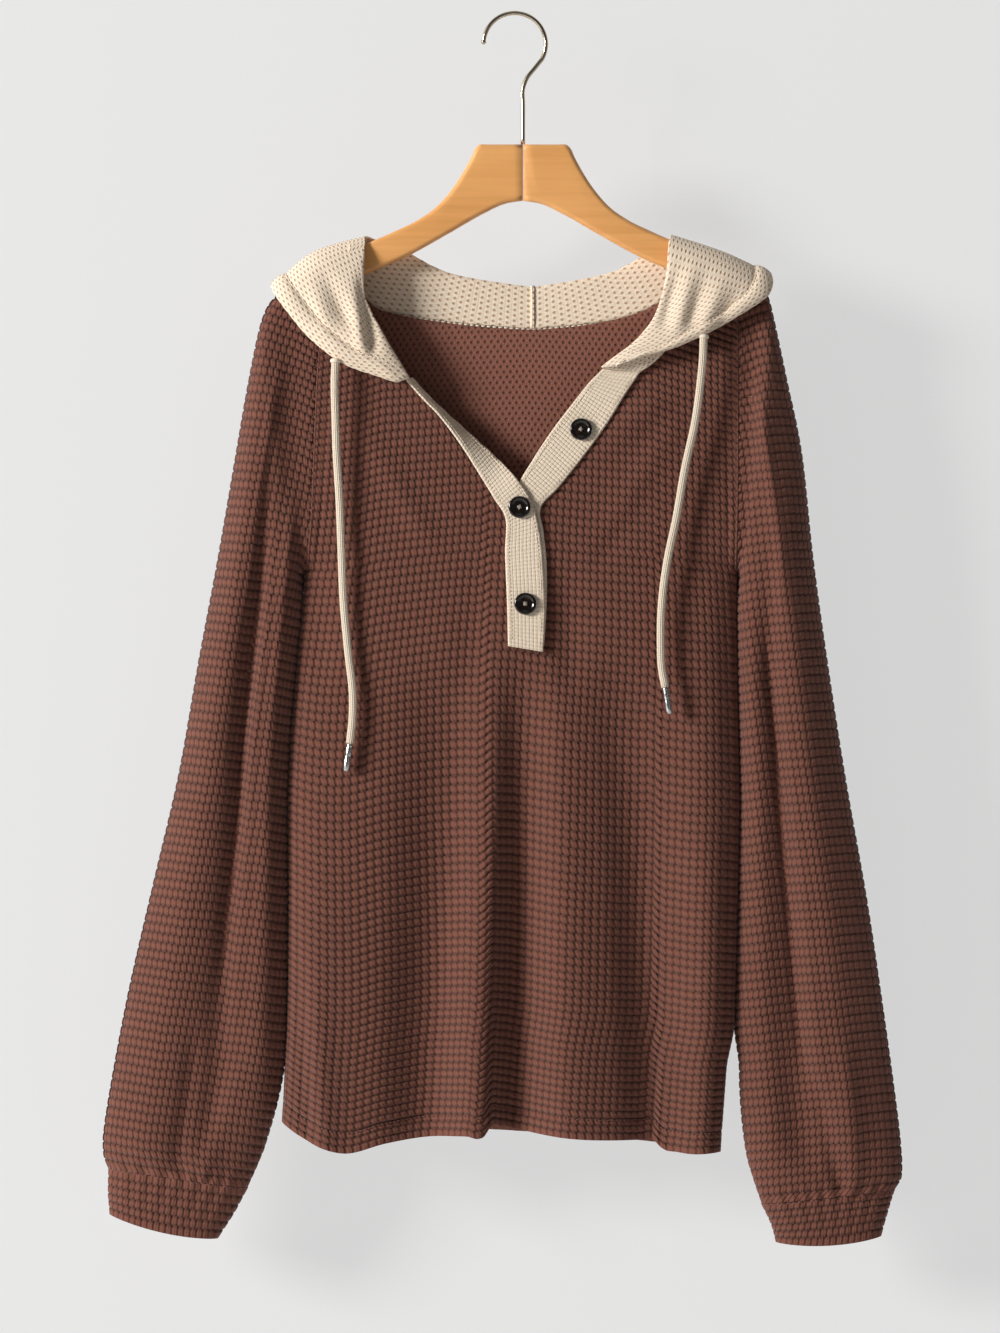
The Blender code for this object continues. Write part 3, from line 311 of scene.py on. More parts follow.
FOLD_EDGE_POWER = 6         # the folds die out at the panel's edges
LINES_EDGE_POWER = 12
FOLD_CLEAR = 25.0           # no fold nearer than this to the shoulder seam
FOLD_FADE = 60.0            # distance over which the folds set in below that
FOLD_GROWTH = 1.6           # a fold has its full rise at 1 / FOLD_GROWTH of its length
FREE_FOOT = -880.0          # a crease whose foot lies above this fades out there too
FRONT_FOLDS = table(
    Fold,
    ("ridge left of centre", -12.8, -440, -58, -905, 9, 34, 24),
    ("centre trough", -8, -520, -13, -905, -12, 15, 20),
    ("ridge right of centre", 15, -500, 12, -905, 6, 18, 24),
    ("right trough", 60, -540, 92, -905, -8, 34, 24),
    ("right ridge", 147, -420, 138, -915, 9, 26, 30),
    ("left trough", -84, -700, -84, -905, -5, 22, 18),
    ("left belly", -138, -640, -138, -915, 6, 26, 30),
    ("drag from the placket", 62, -365, 118, -300, 4, 18, 18),
)
BACK_FOLDS = table(
    Fold,
    ("ridge under the left blade", -80, -420, -105, -905, 7, 34, 34),
    ("centre trough", 0, -430, -10, -905, -6, 36, 30),
    ("ridge under the right blade", 85, -420, 100, -905, 8, 34, 34),
)
FRONT_CREASES = table(
    FineFold,
    ("pleat at the left side seam", -178.5, -705, -168, -890, -6, 6, 7),
    ("lip of the left pleat", -166, -720, -154, -890, 3.5, 8, 10),
    ("sharp edge of the right ridge", 118, -790, 114, -910, 3.5, 4, 16),
    ("drag from the right shoulder", 146, -290, 70, -430, 3, 12, 12),
    ("hollow under that drag", 128, -330, 60, -455, -2, 11, 11),
    ("drag from the left shoulder", -140, -300, -60, -440, 2.5, 12, 12),
    ("hollow left of the placket", -30, -420, -40, -560, -2.5, 14, 12),
    ("hollow inside the left sleeve", -158, -360, -160, -560, -5, 9, 14),
    ("swell along the left side", -168, -500, -170, -905, 4, 8, 20),
    ("upper swell along the right side", 156, -340, 160, -640, 3.5, 18, 9),
    ("swell along the right side", 162, -500, 161, -905, 4.5, 18, 8),
    ("hollow under the button band", 40, -390, 44, -560, -3, 12, 14),
)
BACK_CREASES = table(
    FineFold,
    ("drag from the left blade", -140, -300, -60, -520, 3, 14, 14),
    ("drag from the right blade", 146, -300, 66, -520, 3, 14, 14),
    ("crease of the centre", 8, -560, 4, -905, -3.5, 7, 12),
    ("lip of the centre crease", 24, -580, 22, -905, 2.5, 8, 12),
    ("left side pleat", -150, -660, -142, -890, -4, 8, 10),
    ("right side pleat", 140, -640, 138, -890, -4, 9, 9),
)
FRONT_LINES = table(
    LineRow,
    (-490, -150, 0, -50, -5, -18, -2, 3, -4, 30, 0, 74, -4, 150, 0),
    (-560, -152, 0, -51, -11.5, -18, -3.5, 4, -11, 33, -2, 78, -9, 150, 1),
    (-620, -154, 0.5, -53, -16.5, -19, -5, 3, -17.5, 35, -4, 88, -14.5, 151, 1.5),
    (-690, -156, 1, -57, -20, -21.5, -4, 1, -21, 37, -5, 98, -20, 153, 2),
    (-760, -158, 1, -62, -22, -24.5, -2.5, -2, -22.5, 38, -3.5, 104, -23, 154, 2),
    (-840, -158, 1, -67, -22, -27, 0.5, -5, -20.5, 40, 0.5, 111, -21, 152, 2),
    (-930, -158, 1, -71, -21, -29, 1.5, -7, -18, 42, 2, 115, -19, 150, 2),
)
LINES_FROM = -495.0         # above this only the solid's folds
LINES_BLEND = 70.0
LINES_ENDS = ((-200.0, -178.0), (172.0, 190.0))     # beyond the sides, where no line stands out
SHOULDER_OF_TROUGH = (0.5, 0.26)        # half way to a wide trough the cloth has sunk by this share

# ---------------------------------------------------------------- sleeves and cuffs
# Rings from the armhole to the cuff.
SLEEVES = {
    "left": table(
        SleeveRow,
        (-155.5, -197.4, -168.2, -448, 16, 14), (-168.8, -203.3, -169.2, -452, 16.5, 14),
        (-180.5, -210.8, -170.4, -457, 17, 14.5), (-190, -222.5, -171.6, -464, 17.5, 15),
        (-199.5, -234, -172.6, -474, 18.5, 15.5), (-206.5, -254, -174.5, -490, 20, 16),
        (-216, -301, -178, -520, 21.5, 17), (-227, -365, -181.5, -556, 22.5, 18),
        (-240, -440, -184.6, -592, 23, 18.5), (-255, -520, -186.2, -634, 23, 19),
        (-270.5, -608, -185.4, -690, 23, 19), (-290, -692, -185.4, -752, 23, 19),
        (-309, -774, -185.6, -817, 22.5, 19), (-322, -840, -188.5, -861, 22, 19),
        (-330.5, -892, -199.5, -903, 21, 18.5), (-331, -913, -208.5, -926, 20, 18),
        (-327.4, -924, -215, -940, 18.5, 17),
    ),
    "right": table(
        SleeveRow,
        (177.9, -202.7, 176.6, -448, 16, 14), (184, -205.7, 177.6, -452, 16.5, 14),
        (190.4, -210.5, 178.2, -457, 17, 14.5), (197, -216, 178.3, -465, 17.5, 15),
        (203, -227.5, 178.7, -477, 18.5, 15.5), (207.6, -246, 179.2, -493, 20, 16),
        (217.6, -293, 180, -521, 21.5, 17), (229.5, -352, 181.2, -553, 22.5, 18),
        (238.6, -436, 182.8, -592, 23, 18.5), (250.5, -522, 184, -634, 23, 19),
        (264.5, -612, 182.2, -690, 23, 19), (281.6, -709, 180, -755, 23, 19),
        (293.6, -789, 178.8, -823, 22.5, 19), (303.2, -858, 179.4, -869, 22, 19),
        (308.6, -903, 184, -911, 21, 18.5), (309.6, -930, 191.2, -937, 20, 18),
        (304.4, -941, 196.8, -953, 18.5, 17),
    ),
}
SLEEVE_SET = 0.45           # the sleeve's seam stands off the body's by this
RINGS_OVER_ARM = 2.0        # rows of the table that still lie over the hanger's arm
RINGS_TO_TUBE = 3.0         # rows over which the shoulder's form becomes a tube
SEAM_ROWS = 4.0             # rows over which a ring keeps the curve of the armhole seam
TUBE_POWER = 2.4
SIDE_FOOT = {"left": -872.0, "right": -846.0}       # down to here the sleeve touches the side
SIDE_TOUCH = -1.0           # the soft edges press on each other by this
GATHER_FROM = 14.6          # row of the table where the gathers above the cuff set in
SLEEVE_GATHER = 1.1         # their depth
CUFF_GATHER = 0.8
CUFF_SAG = 4.0              # the mouth hangs lower in the middle
SEAM_SUNK = 0.35            # the seams' threads lie this deep in the cloth
SLEEVE_FOLDS = {
    "left": table(
        SleeveFold,
        ("trough along the sleeve", 5, 15, 0.42, 0.68, -7, 0.11),
        ("ridge by the body", 1.5, 14, 0.72, 0.88, 4, 0.10),
        ("outer ridge", 4, 16, 0.20, 0.30, 4, 0.16),
    ),
    "right": table(
        SleeveFold,
        ("trough along the sleeve", 6, 15, 0.60, 0.62, -6, 0.12),
        ("outer ridge", 2.5, 15, 0.36, 0.34, 5, 0.16),
        ("ridge by the body", 5, 15, 0.86, 0.84, 3, 0.10),
    ),
}
SLEEVE_CREASES = {
    "left": table(
        SleeveFold,
        ("crease in the trough", 6.5, 12, 0.50, 0.56, -3, 0.035),
        ("lip beside it", 6, 13, 0.60, 0.68, 2, 0.05),
        ("crease near the cuff", 12, 16, 0.44, 0.52, -3, 0.05),
        ("ridge near the cuff", 12.5, 16, 0.72, 0.66, 2.5, 0.06),
        ("ridge below the cap", 2.5, 8, 0.22, 0.40, 2, 0.06),
    ),
    "right": table(
        SleeveFold,
        ("crease in the trough", 7, 13, 0.66, 0.58, -3, 0.035),
        ("lip beside it", 7, 13.5, 0.52, 0.48, 2, 0.05),
        ("crease near the cuff", 12.5, 16, 0.50, 0.42, -3, 0.05),
        ("ridge near the cuff", 12, 16, 0.30, 0.34, 2.5, 0.06),
        ("ridge below the cap", 2.5, 8, 0.30, 0.42, 2, 0.06),
    ),
}
CUFFS = {
    "left": table(
        CuffRow,
        (-327, -924.6, -215.2, -940.8, 17), (-327.4, -944.5, -226, -961, 16.5),
        (-326, -961.5, -239, -981, 16),
    ),
    "right": table(
        CuffRow,
        (304, -941.9, 197, -953.9, 17), (299, -958, 204.6, -970, 16.5), (293, -979, 208.5, -984, 16),
    ),
}

# ---------------------------------------------------------------- hood
# Sections from the placket round to the centre of the back.
HOODS = {
    "left": table(
        hood_row,
        ("placket end", (-94, -16.4, -289), (-87, -19.5, -291.5), (-91, -22.4, -294.5), (-96, -21.4, -295.5)),
        ("low chest", (-106, -15.6, -281), (-97, -20, -277), (-101, -25, -287), (-108, -22.5, -291.5)),
        ("chest", (-125.5, -14.2, -255), (-113, -20, -249.5), (-121, -27.5, -266), (-137, -23, -281.5)),
        ("collar bone", (-133.5, -12.9, -233), (-122.4, -17.5, -226), (-143, -26, -243),
         (-164, -22.5, -261.5)),
        ("front of the arm", (-134.6, -12.2, -209.5), (-123, -15, -203.5), (-152, -22, -220),
         (-182, -20.5, -240.5)),
        ("over the arm, front", (-133.6, -11.6, -189.5), (-121.8, -8.5, -185), (-158, -14.5, -199.5),
         (-192.5, -14.5, -226)),
        ("over the arm", (-132.8, 0, -182.4), (-120.6, 1.5, -178.2), (-162, 0, -191.5), (-196, 1, -218)),
        ("behind the arm", (-132.2, 12.4, -190), (-112, 13, -181), (-152, 18, -212), (-186, 19, -224)),
        ("nape", (-117, 12.8, -230.5), (-92, 14.8, -190), (-126, 29, -285), (-140, 35, -222)),
        ("back quarter", (-61, 13.2, -243.9), (-50, 17.5, -207.5), (-72, 37, -405), (-74, 48, -233)),
        ("by the centre seam", (9.6, 13.6, -250.4), (9.6, 19, -217), (9.6, 42, -446), (9.6, 54, -244)),
        ("centre seam", (13.6, 13.6, -250.4), (13.6, 19, -217), (13.6, 42, -446), (13.6, 54, -244)),
    ),
    "right": table(
        hood_row,
        ("placket end", (99, -16.4, -287.5), (74.5, -19.5, -285), (79, -24.6, -283), (83, -24.4, -277.5)),
        ("low chest", (112.5, -15.8, -277.5), (91, -20, -272), (98, -26.5, -274), (107, -25, -273)),
        ("chest", (125.2, -14.2, -261.5), (104, -20, -258), (118, -27.5, -266.5), (133, -23.5, -264)),
        ("collar bone", (133.4, -12.9, -240), (114.5, -18, -240), (138, -26, -249), (161, -22.5, -252.5)),
        ("front of the arm", (138.2, -12.2, -214), (121.5, -15, -212), (158, -22, -225), (196, -20.5, -231)),
        ("over the arm, front", (142.2, -12.6, -191), (124, -12, -184), (165, -14.5, -200),
         (205, -13.5, -219.5)),
        ("over the arm", (140.8, 0, -182), (125.4, 1.5, -177.2), (168, 0, -192), (204, 1, -208.5)),
        ("behind the arm", (140.2, 12.4, -191), (122, 13, -184), (165, 18, -212), (198, 19, -216)),
        ("nape", (129, 12.8, -220), (106, 14.8, -192), (150, 29, -285), (158, 35, -222)),
        ("back quarter", (86.5, 13.2, -241.9), (73, 17.5, -207), (97, 37, -405), (99, 48, -233)),
        ("by the centre seam", (17.6, 13.6, -250.4), (17.6, 19, -217), (17.6, 42, -446), (17.6, 54, -244)),
        ("centre seam", (13.6, 13.6, -250.4), (13.6, 19, -217), (13.6, 42, -446), (13.6, 54, -244)),
    ),
}
HOOD_KNOTS = (0.0, 0.16, 0.58, 1.0)         # places of seam, roll, fold and edge
ROLL_LINE = 17              # the grid's line at the roll, and one on the lapel
LAPEL_LINE = 60
NECK_FROM = 7.6             # section from which the neck's stitches are seen
NECK_STITCH_OUT = 1.6
NECK_WAY = (0.0, -0.80, -0.60)
CASING_WIDTH = 16.0         # the tunnel along the edge of the face opening
CASING_RISE = 2.4
CENTRE_SEAM_RISE = 1.3
HOOD_CREASES = {
    "left": table(
        FineFold,
        ("crease beside the roll", -126, -200, -114, -280, -5, 3.5, 7),
        ("lip of that crease", -133, -206, -120, -280, 3, 6, 4),
        ("hollow of the middle", -158, -196, -132, -256, -2.5, 7, 7),
        ("ridge towards the tip", -166, -206, -148, -262, 2, 6, 7),
    ),
    "right": table(
        FineFold,
        ("trough beside the roll", 133, -192, 116, -258, -2.6, 4.5, 5.5),
        ("first ridge", 144, -192, 126, -262, 2.6, 5.5, 5.5),
        ("second trough", 154, -200, 136, -260, -2.4, 5, 6),
        ("second ridge", 168, -206, 146, -262, 2.4, 6, 6),
        ("third trough", 182, -212, 160, -256, -2, 6, 6),
    ),
}

# ---------------------------------------------------------------- placket, buttons, strings
BANDS = {
    "buttonhole": table(
        BandRow,
        (-84.5, -296.8, -79.5, -294, 4.2, 12), (-74, -308.5, -69.5, -305, 3.6, 13),
        (-61.6, -321.4, -57, -317, 3, 14), (-45.6, -343, -38, -334, 3.2, 13),
        (-29.6, -368.6, -16, -354.5, 4.2, 8), (-17.6, -388.6, 0.5, -372.5, 5.6, 0.5),
        (-8.4, -405, 13.5, -394, 5.6, 0), (-8.8, -432.6, 20.5, -428, 5.4, 0),
        (-7.2, -472.6, 23.2, -472.6, 5.4, 0), (-6.4, -506.2, 21.6, -511, 5.4, 0),
    ),
    "button": table(
        BandRow,
        (96.4, -291.4, 66.4, -287.6, 3.4, 0), (86, -307, 58, -296, 3.2, 0), (72, -329.4, 47, -310, 2.9, 0),
        (53.6, -355, 29, -333.5, 2.7, 0), (34.4, -379, 12, -359.5, 2.6, 0), (19.8, -395.8, 1, -380, 2.6, 0),
        (22, -415, -3, -408, 2.6, 0), (24.4, -440, -4.6, -437, 2.6, 0), (24.4, -472, -4.6, -472, 2.6, 0),
        (22.4, -506, -4, -503, 2.6, 0),
    ),
}
BAND_TURN_POWER = 1.5       # how the turn of the inner edge grows across the band
BAND_TUCK = 0.3             # rows by which a band goes on under the hood
BAND_STITCH = 3.0           # distance of the sewn line from a band's edge
BUTTONS = table(
    ButtonPlace,
    ("button_1", "button", 2.52, 0.44),
    ("button_2", "buttonhole", 5.86, 0.56),
    ("button_3", "buttonhole", 8, 0.48),
)
BUTTON_DIAMETER = 17.6
BUTTON_PROBE = 0.05         # step along and across the band that gives its slope there
# A button's outline from its middle: share of the radius, height in millimetres.
BUTTON_OUTLINE = (
    (0.02, 2.30), (0.30, 2.28), (0.55, 2.32), (0.62, 2.42), (0.68, 2.75), (0.74, 3.15), (0.80, 3.36),
    (0.86, 3.38), (0.92, 3.22), (0.97, 2.85), (1.0, 2.35), (1.0, 1.5), (0.96, 0.7), (0.88, 0.1), (0.8, 0.0),
    (0.02, 0.0),
)
HOLE_AWAY = 1.6             # distance of a button's holes from its middle
THREAD_RADIUS = 0.42
THREADS_APART = 0.35        # half the distance of two threads side by side, and the upper pair's rise
STRINGS = {
    "left": table(
        Place,
        (-144, -24.6, -278.9), (-144.6, -26, -294), (-144, -26.6, -322), (-143.2, -26.6, -349),
        (-140.8, -26.4, -389), (-139.2, -26.4, -429), (-137.6, -26.6, -469), (-134, -27, -509),
        (-130, -27.4, -549), (-130.4, -27.6, -565), (-132.4, -27.6, -584),
    ),
    "right": table(
        Place,
        (149.6, -24.6, -259.5), (149, -26.4, -276), (147.2, -27.4, -295), (143.2, -27.6, -325),
        (134.6, -28, -365), (127.6, -28.6, -405), (120.8, -29.4, -437), (116.4, -30.2, -469),
        (115.2, -31, -501), (116.2, -31.4, -525), (118.8, -31.6, -539),
    ),
}
STRING_WIDTH = 6.4          # the braid is a little flat
STRING_FLATNESS = 0.72
# The lip round the cord's top: distance from the cord's middle, and down it.
LIP_OUTLINE = (
    (0.05, -2.2), (2.2, -2.1), (3.6, -1.5), (4.3, -0.4), (4.35, 0.5), (4.0, 1.3), (3.3, 1.5), (0.05, 1.4),
)
AGLET_DIAMETER = 5.6
AGLET_ENDS = {"left": Place(-135.8, -27.6, -606.4), "right": Place(122.2, -31.6, -560.6)}
# A string end's outline: share of the radius, share of the length.
AGLET_OUTLINE = (
    (0.05, 0.0), (0.86, 0.0), (0.98, 0.03), (1.0, 0.07), (0.93, 0.10), (0.93, 0.13), (1.0, 0.16),
    (1.0, 0.40), (0.95, 0.43), (0.95, 0.47), (1.0, 0.50), (0.98, 0.78), (0.90, 0.88), (0.74, 0.96),
    (0.5, 1.0), (0.05, 1.0),
)


class Facing(Enum):
    """Which way the outer face of a body panel looks."""

    FRONT = -1.0
    BACK = 1.0


# ---------------------------------------------------------------- curves and depths
def smooth_step(share: Array) -> Array:
    """Ease from 0 to 1, flat at both ends: three times the square less twice the cube."""
    share = np.clip(share, 0.0, 1.0)
    return share * share * (3.0 - 2.0 * share)


def bell(distance: Array, width: float) -> Array:
    """A soft bump, 1 in its middle: e to the power of minus the square of distance by width."""
    return np.exp(-(distance / width) ** 2)


def unit(vectors: Array) -> Array:
    """The vectors at length 1."""
    return vectors / np.maximum(np.linalg.norm(vectors, axis=-1), 1e-9)[..., None]


def grid_normals(points: Array) -> Array:
    """Normals of a grid of points, square to both of its directions."""
    return unit(np.cross(np.gradient(points, axis=0), np.gradient(points, axis=1)))


def smooth_curve(knots: Sequence[float], values: Array, places: Array) -> Array:
    """Points on a smooth curve through given values.

    Between two knots the curve is the cubic with the values and the mean slopes at both ends.

    Args:
        knots: rising places of the values.
        values: one value, or one row of values, for each knot.
        places: where the curve is wanted.

    Returns:
        The curve's values at the places.
    """
    knots = np.asarray(knots, float)
    values = np.asarray(values, float)
    places = np.asarray(places, float)
    slopes = np.gradient(values, knots, axis=0)
    step = np.clip(np.searchsorted(knots, places, side="right") - 1, 0, len(knots) - 2)
    width = knots[step + 1] - knots[step]
    share = (places - knots[step]) / width
    if values.ndim > 1:
        share = share[..., None]
        width = width[..., None]
    square = share * share
    cube = square * share
    return (values[step] * (2 * cube - 3 * square + 1) + slopes[step] * width * (cube - 2 * square + share)
            + values[step + 1] * (3 * square - 2 * cube) + slopes[step + 1] * width * (cube - square))


def along_edge(points: Sequence[Sequence[float]], shares: Array) -> Array:
    """Points on the smooth curve through an edge's points, by share of its length."""
    points = np.array(points, float)
    lengths = np.linalg.norm(np.diff(points, axis=0), axis=1)
    knots = np.concatenate(([0.0], np.cumsum(lengths)))
    return smooth_curve(knots / knots[-1], points, shares)


def lengths_along(points: Array, axis: int) -> Array:
    """Running length of a grid's lines along one of its axes, 0 at the start."""
    steps = np.linalg.norm(np.diff(points, axis=axis), axis=-1)
    start = np.zeros_like(np.take(steps, [0], axis=axis))
    return np.concatenate((start, np.cumsum(steps, axis=axis)), axis=axis)


def body_value(column: str, height: Array) -> Array:
    """A column of the body's table at the given heights."""
    rows = np.array(BODY, float)
    return smooth_curve(rows[:, 0], rows[:, BodyRow._fields.index(column)], height)


def side_room(side: str, height: Array) -> Array:
    """Half the room between the body's side and the sleeve beside it, which the soft cloth fills."""
    rows = np.array(SLEEVES[side], float)
    ring = smooth_curve(np.arange(len(rows)), rows, np.linspace(2.0, len(rows) - 1.0, 240))
    inner = np.interp(height, ring[::-1, 3], ring[::-1, 2])
    room = np.maximum(np.abs(inner - body_value(side, height)) - SIDE_TOUCH, 0.0) / 2
    under_arm, over_foot = (ARMPIT_HEIGHT + 5.0 - height) / 8.0, (height - SIDE_FOOT[side]) / 40.0
    return room * smooth_step(under_arm) * smooth_step(over_foot)


def side_x(side: str, height: Array) -> Array:
    """Where the body ends on that side."""
    return body_value(side, height) + SIGN[side] * side_room(side, height)


def shoulder_height(x: Array) -> Array:
    """Height of the cloth on the hanger's arm: the arm's top edge, the gap and the wall."""
    away = np.abs(np.asarray(x, float) - HANGER_CENTRE)
    return SHOULDER_FROM.height - SHOULDER_SLOPE * (away - SHOULDER_FROM.away) + ARM_GAP + WALL


def over_shoulder(below: Array) -> Array:
    """Share of the depth at a distance below the shoulder seam, round as the cloth over the arm."""
    share = np.clip(1.0 - below / SHOULDER_RADIUS, 0.0, 1.0)
    return (1.0 - share ** SHOULDER_POWER) ** (1.0 / SHOULDER_POWER)


def armhole_share(height: Array) -> Array:
    """Depth at the body's edge, as a share of the panel's depth: 0 at the side seam."""
    rise = np.clip((height - ARMPIT_HEIGHT) / ARMHOLE_ROUNDING, 0.0, 1.0)
    return ARMHOLE_DEPTH * np.sqrt(1.0 - (1.0 - rise) ** 2)


def side_share(across: Array, height: Array) -> Array:
    """Share of the depth at a place across the panel, falling off round the side."""
    edge = armhole_share(height)
    power = 1.0 / SIDE_POWER + (1.0 - 1.0 / SIDE_POWER) * smooth_step(edge / ARMHOLE_DEPTH)
    fall = np.maximum(1.0 - np.abs(across) ** SIDE_POWER, 0.0) ** power
    return edge + (1.0 - edge) * fall


def fold_rise(folds: Sequence[Fold], x: Array, height: Array) -> Array:
    """Sum of the folds: each a soft bump across its line, growing from its top to its foot."""
    rise = np.zeros(np.broadcast(x, height).shape)
    for fold in folds:
        along = (fold.top_height - height) / (fold.top_height - fold.foot_height)
        middle = fold.top_x + (fold.foot_x - fold.top_x) * along
        width = np.where(x < middle, fold.left_width, fold.right_width)
        grow = smooth_step(along * FOLD_GROWTH)
        if fold.foot_height > fold.top_height or isinstance(fold, FineFold) and fold.foot_height > FREE_FOOT:
            grow = grow * smooth_step((1.0 - along) * 4.0)
        rise = rise + fold.rise * grow * bell(x - middle, width)
    return rise


def between_lines(x: Array, height: Array) -> Array:
    """How far the front stands out between its crest and trough lines: a cubic through them all.

    The cubics are worked out once at every millimetre of x for a row of levels, and read off
    between them in proportion.
    """
    rows = np.array(FRONT_LINES[::-1], float)
    levels = np.linspace(rows[0, 0], rows[-1, 0], 61)
    lines = smooth_curve(rows[:, 0], rows[:, 1:], levels)
    at, shift = lines[:, 0::2], lines[:, 1::2]
    far, sunk = SHOULDER_OF_TROUGH
    for crest in (4, 0):
        middle_x = at[:, crest] + (at[:, crest + 1] - at[:, crest]) * far
        middle = shift[:, crest] + (shift[:, crest + 1] - shift[:, crest]) * sunk
        at = np.insert(at, crest + 1, middle_x, axis=1)
        shift = np.insert(shift, crest + 1, middle, axis=1)
    none = np.zeros((len(levels), 1))
    first, last = LINES_ENDS
    at = np.concatenate((none + first[0], none + first[1], at, none + last[0], none + last[1]), axis=1)
    shift = np.concatenate((none, none, shift, none, none), axis=1)
    fine = np.linspace(first[0], last[1], int(last[1] - first[0]) + 1)
    curves = np.array([smooth_curve(a, b, fine) for a, b in zip(at, shift)])
    level = np.clip((height - levels[0]) / (levels[-1] - levels[0]), 0.0, 1.0) * (len(levels) - 1)
    place = np.clip(x - fine[0], 0.0, len(fine) - 1.001)
    row, column = np.minimum(level.astype(int), len(levels) - 2), place.astype(int)
    down, along = level - row, place - column
    upper = curves[row, column] * (1 - along) + curves[row, column + 1] * along
    lower = curves[row + 1, column] * (1 - along) + curves[row + 1, column + 1] * along
    return upper * (1 - down) + lower * down


def panel_depth(side: str, folds: Sequence[Fold], x: Array, height: Array, across: Array) -> Array:
    """Distance of the panel's outer face from the hanger's plane."""
    below = shoulder_height(x) - height
    base = body_value(side, height) * side_share(across, height) * over_shoulder(below)
    fade = (1.0 - np.abs(across) ** FOLD_EDGE_POWER) * smooth_step((below - FOLD_CLEAR) / FOLD_FADE)
    return base + fade * fold_rise(folds, x, height)


def front_depth(x: Array, height: Array) -> Array:
    """Depth of the front's outer face at a point of its front view, without the fine creases."""
    left = body_value("left", height)
    right = body_value("right", height)
    across = (x - (left + right) / 2) / ((right - left) / 2)
    return panel_depth("front", FRONT_FOLDS, x, height, np.clip(across, -1.0, 1.0))


def wander(column: Array, row: Array, seed: float, size: float) -> Array:
    """Slow unevenness of hand-made cloth: three crossing sine waves, within plus or minus size."""
    return size * (np.sin(column * 0.31 + row * 0.17 + seed) + np.sin(column * 0.13 - row * 0.29 + 2.1 * seed)
                   + 0.6 * np.sin(column * 0.53 + row * 0.11 + 3.3 * seed)) / 2.6


def cell_lines(cells: int, shares: Sequence[float]) -> Array:
    """Grid lines in cell units: at the shares inside every cell, and at the last cell's end."""
    whole = np.arange(cells)[:, None] + np.array(shares)[None, :]
    return np.append(whole.ravel(), float(cells))


def tube_share(across: Array) -> Array:
    """Share of a tube's depth round its flattened section, 0 at both ends."""
    return (1.0 - np.abs(2.0 * across - 1.0) ** TUBE_POWER) ** (1.0 / TUBE_POWER)


def sleeve_fold_rise(folds: Sequence[SleeveFold], place: Array, across: Array) -> Array:
    """Sum of a sleeve's folds, each fading in and out along the sleeve."""
    rise = np.zeros(np.broadcast(place, across).shape)
    for fold in folds:
        along = (place - fold.first) / (fold.last - fold.first)
        middle = fold.across_first + (fold.across_last - fold.across_first) * along
        grow = smooth_step(along * 4.0) * smooth_step((1.0 - along) * 6.0)
        rise = rise + fold.rise * grow * bell(across - middle, fold.width)
    return rise


# ---------------------------------------------------------------- waffle
EDGE_ROW = 0.4              # a piece of cloth ends inside a cell, not in a groove
ROW_SHARES = (0.0, 0.17, 0.5, 0.83)
COLUMN_SHARES = (0.0, 0.2, 0.8)
ROW_SPREAD = 0.13           # the rows lie wider over the belly than at the hem and the chest
HOOD_PITCH = 3.4            # between the holes of a row, across the hood
HOOD_ROW = 5.0              # between its rows, round the hood
NECK_PITCH = 4.4            # between the rows of holes seen in the neck
BAND_PITCH = 3.0


@dataclass(frozen=True)
class Waffle:
    """Form of a waffle knit in millimetres: its cells and how deep their grooves are.

    Attributes:
        column: width of a cell.
        row: height of a cell.
        row_groove: depth of the groove between two rows.
        column_groove: depth of the groove between two columns.
        crown: how much a cell's middle stands out.
    """

    column: float
    row: float
    row_groove: float
    column_groove: float
    crown: float

    def relief(self, column: Array, row: Array) -> Array:
        """Height of the face over the grid, from the places in cell units.

        Both grooves are wedges, as wide as the grid's shares, and the middle is a low bow.

        Args:
            column: place across, in cells.
            row: place along, in cells.

        Returns:
            Distance along the outward normal.
        """
        beside = np.clip(1.0 - np.abs(column - np.round(column)) / COLUMN_SHARES[1], 0.0, 1.0)
        under = np.clip(1.0 - np.abs(row - np.round(row)) / ROW_SHARES[1], 0.0, 1.0)
        bow = np.sin(np.pi * (row - np.floor(row)))
        uneven = 1.0 + 0.25 * np.sin(np.floor(column) * 12.9 + np.floor(row) * 78.2)
        grooves = self.row_groove * under + self.column_groove * beside * (1.0 - 0.4 * under)
        return (self.crown * bow - grooves) * uneven


BODY_WAFFLE = Waffle(5.9, 6.4, 0.72, 0.16, 0.20)
SLEEVE_WAFFLE = Waffle(5.0, 7.2, 0.80, 0.0, 0.20)
CUFF_WAFFLE = Waffle(5.0, 6.4, 0.7, 0.0, 0.15)


# ---------------------------------------------------------------- meshes
def link(name: str, mesh: bpy.types.Mesh, finishes: Sequence[Material]) -> Piece:
    """An object at the origin with its materials, riding on the part's one body."""
    for finish in finishes:
        mesh.materials.append(finish)
    obj = bpy.data.objects.new(name, mesh)
    bpy.context.scene.collection.objects.link(obj)
    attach(obj, "root")
    return obj


def finished(obj: Piece, node: str = "") -> Piece:
    """Hide the part of the node that a piece stands for, if one is given, and log the piece."""
    if node:
        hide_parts(node)
    log.info("%s: %d faces", obj.name, len(obj.data.polygons))
    return obj


def hold_from(values: Array, stopped: Array) -> Array:
    """Keep every column's value from its first stopped row on.

    Args:
        values: one value for each point of a grid, (rows, columns).
        stopped: whether the column has come to its end there.

    Returns:
        The values, equal from that row on.
    """
    first = np.where(stopped.any(axis=0), stopped.argmax(axis=0), len(values) - 1)
    return np.take_along_axis(values, np.minimum(np.arange(len(values))[:, None], first), axis=0)


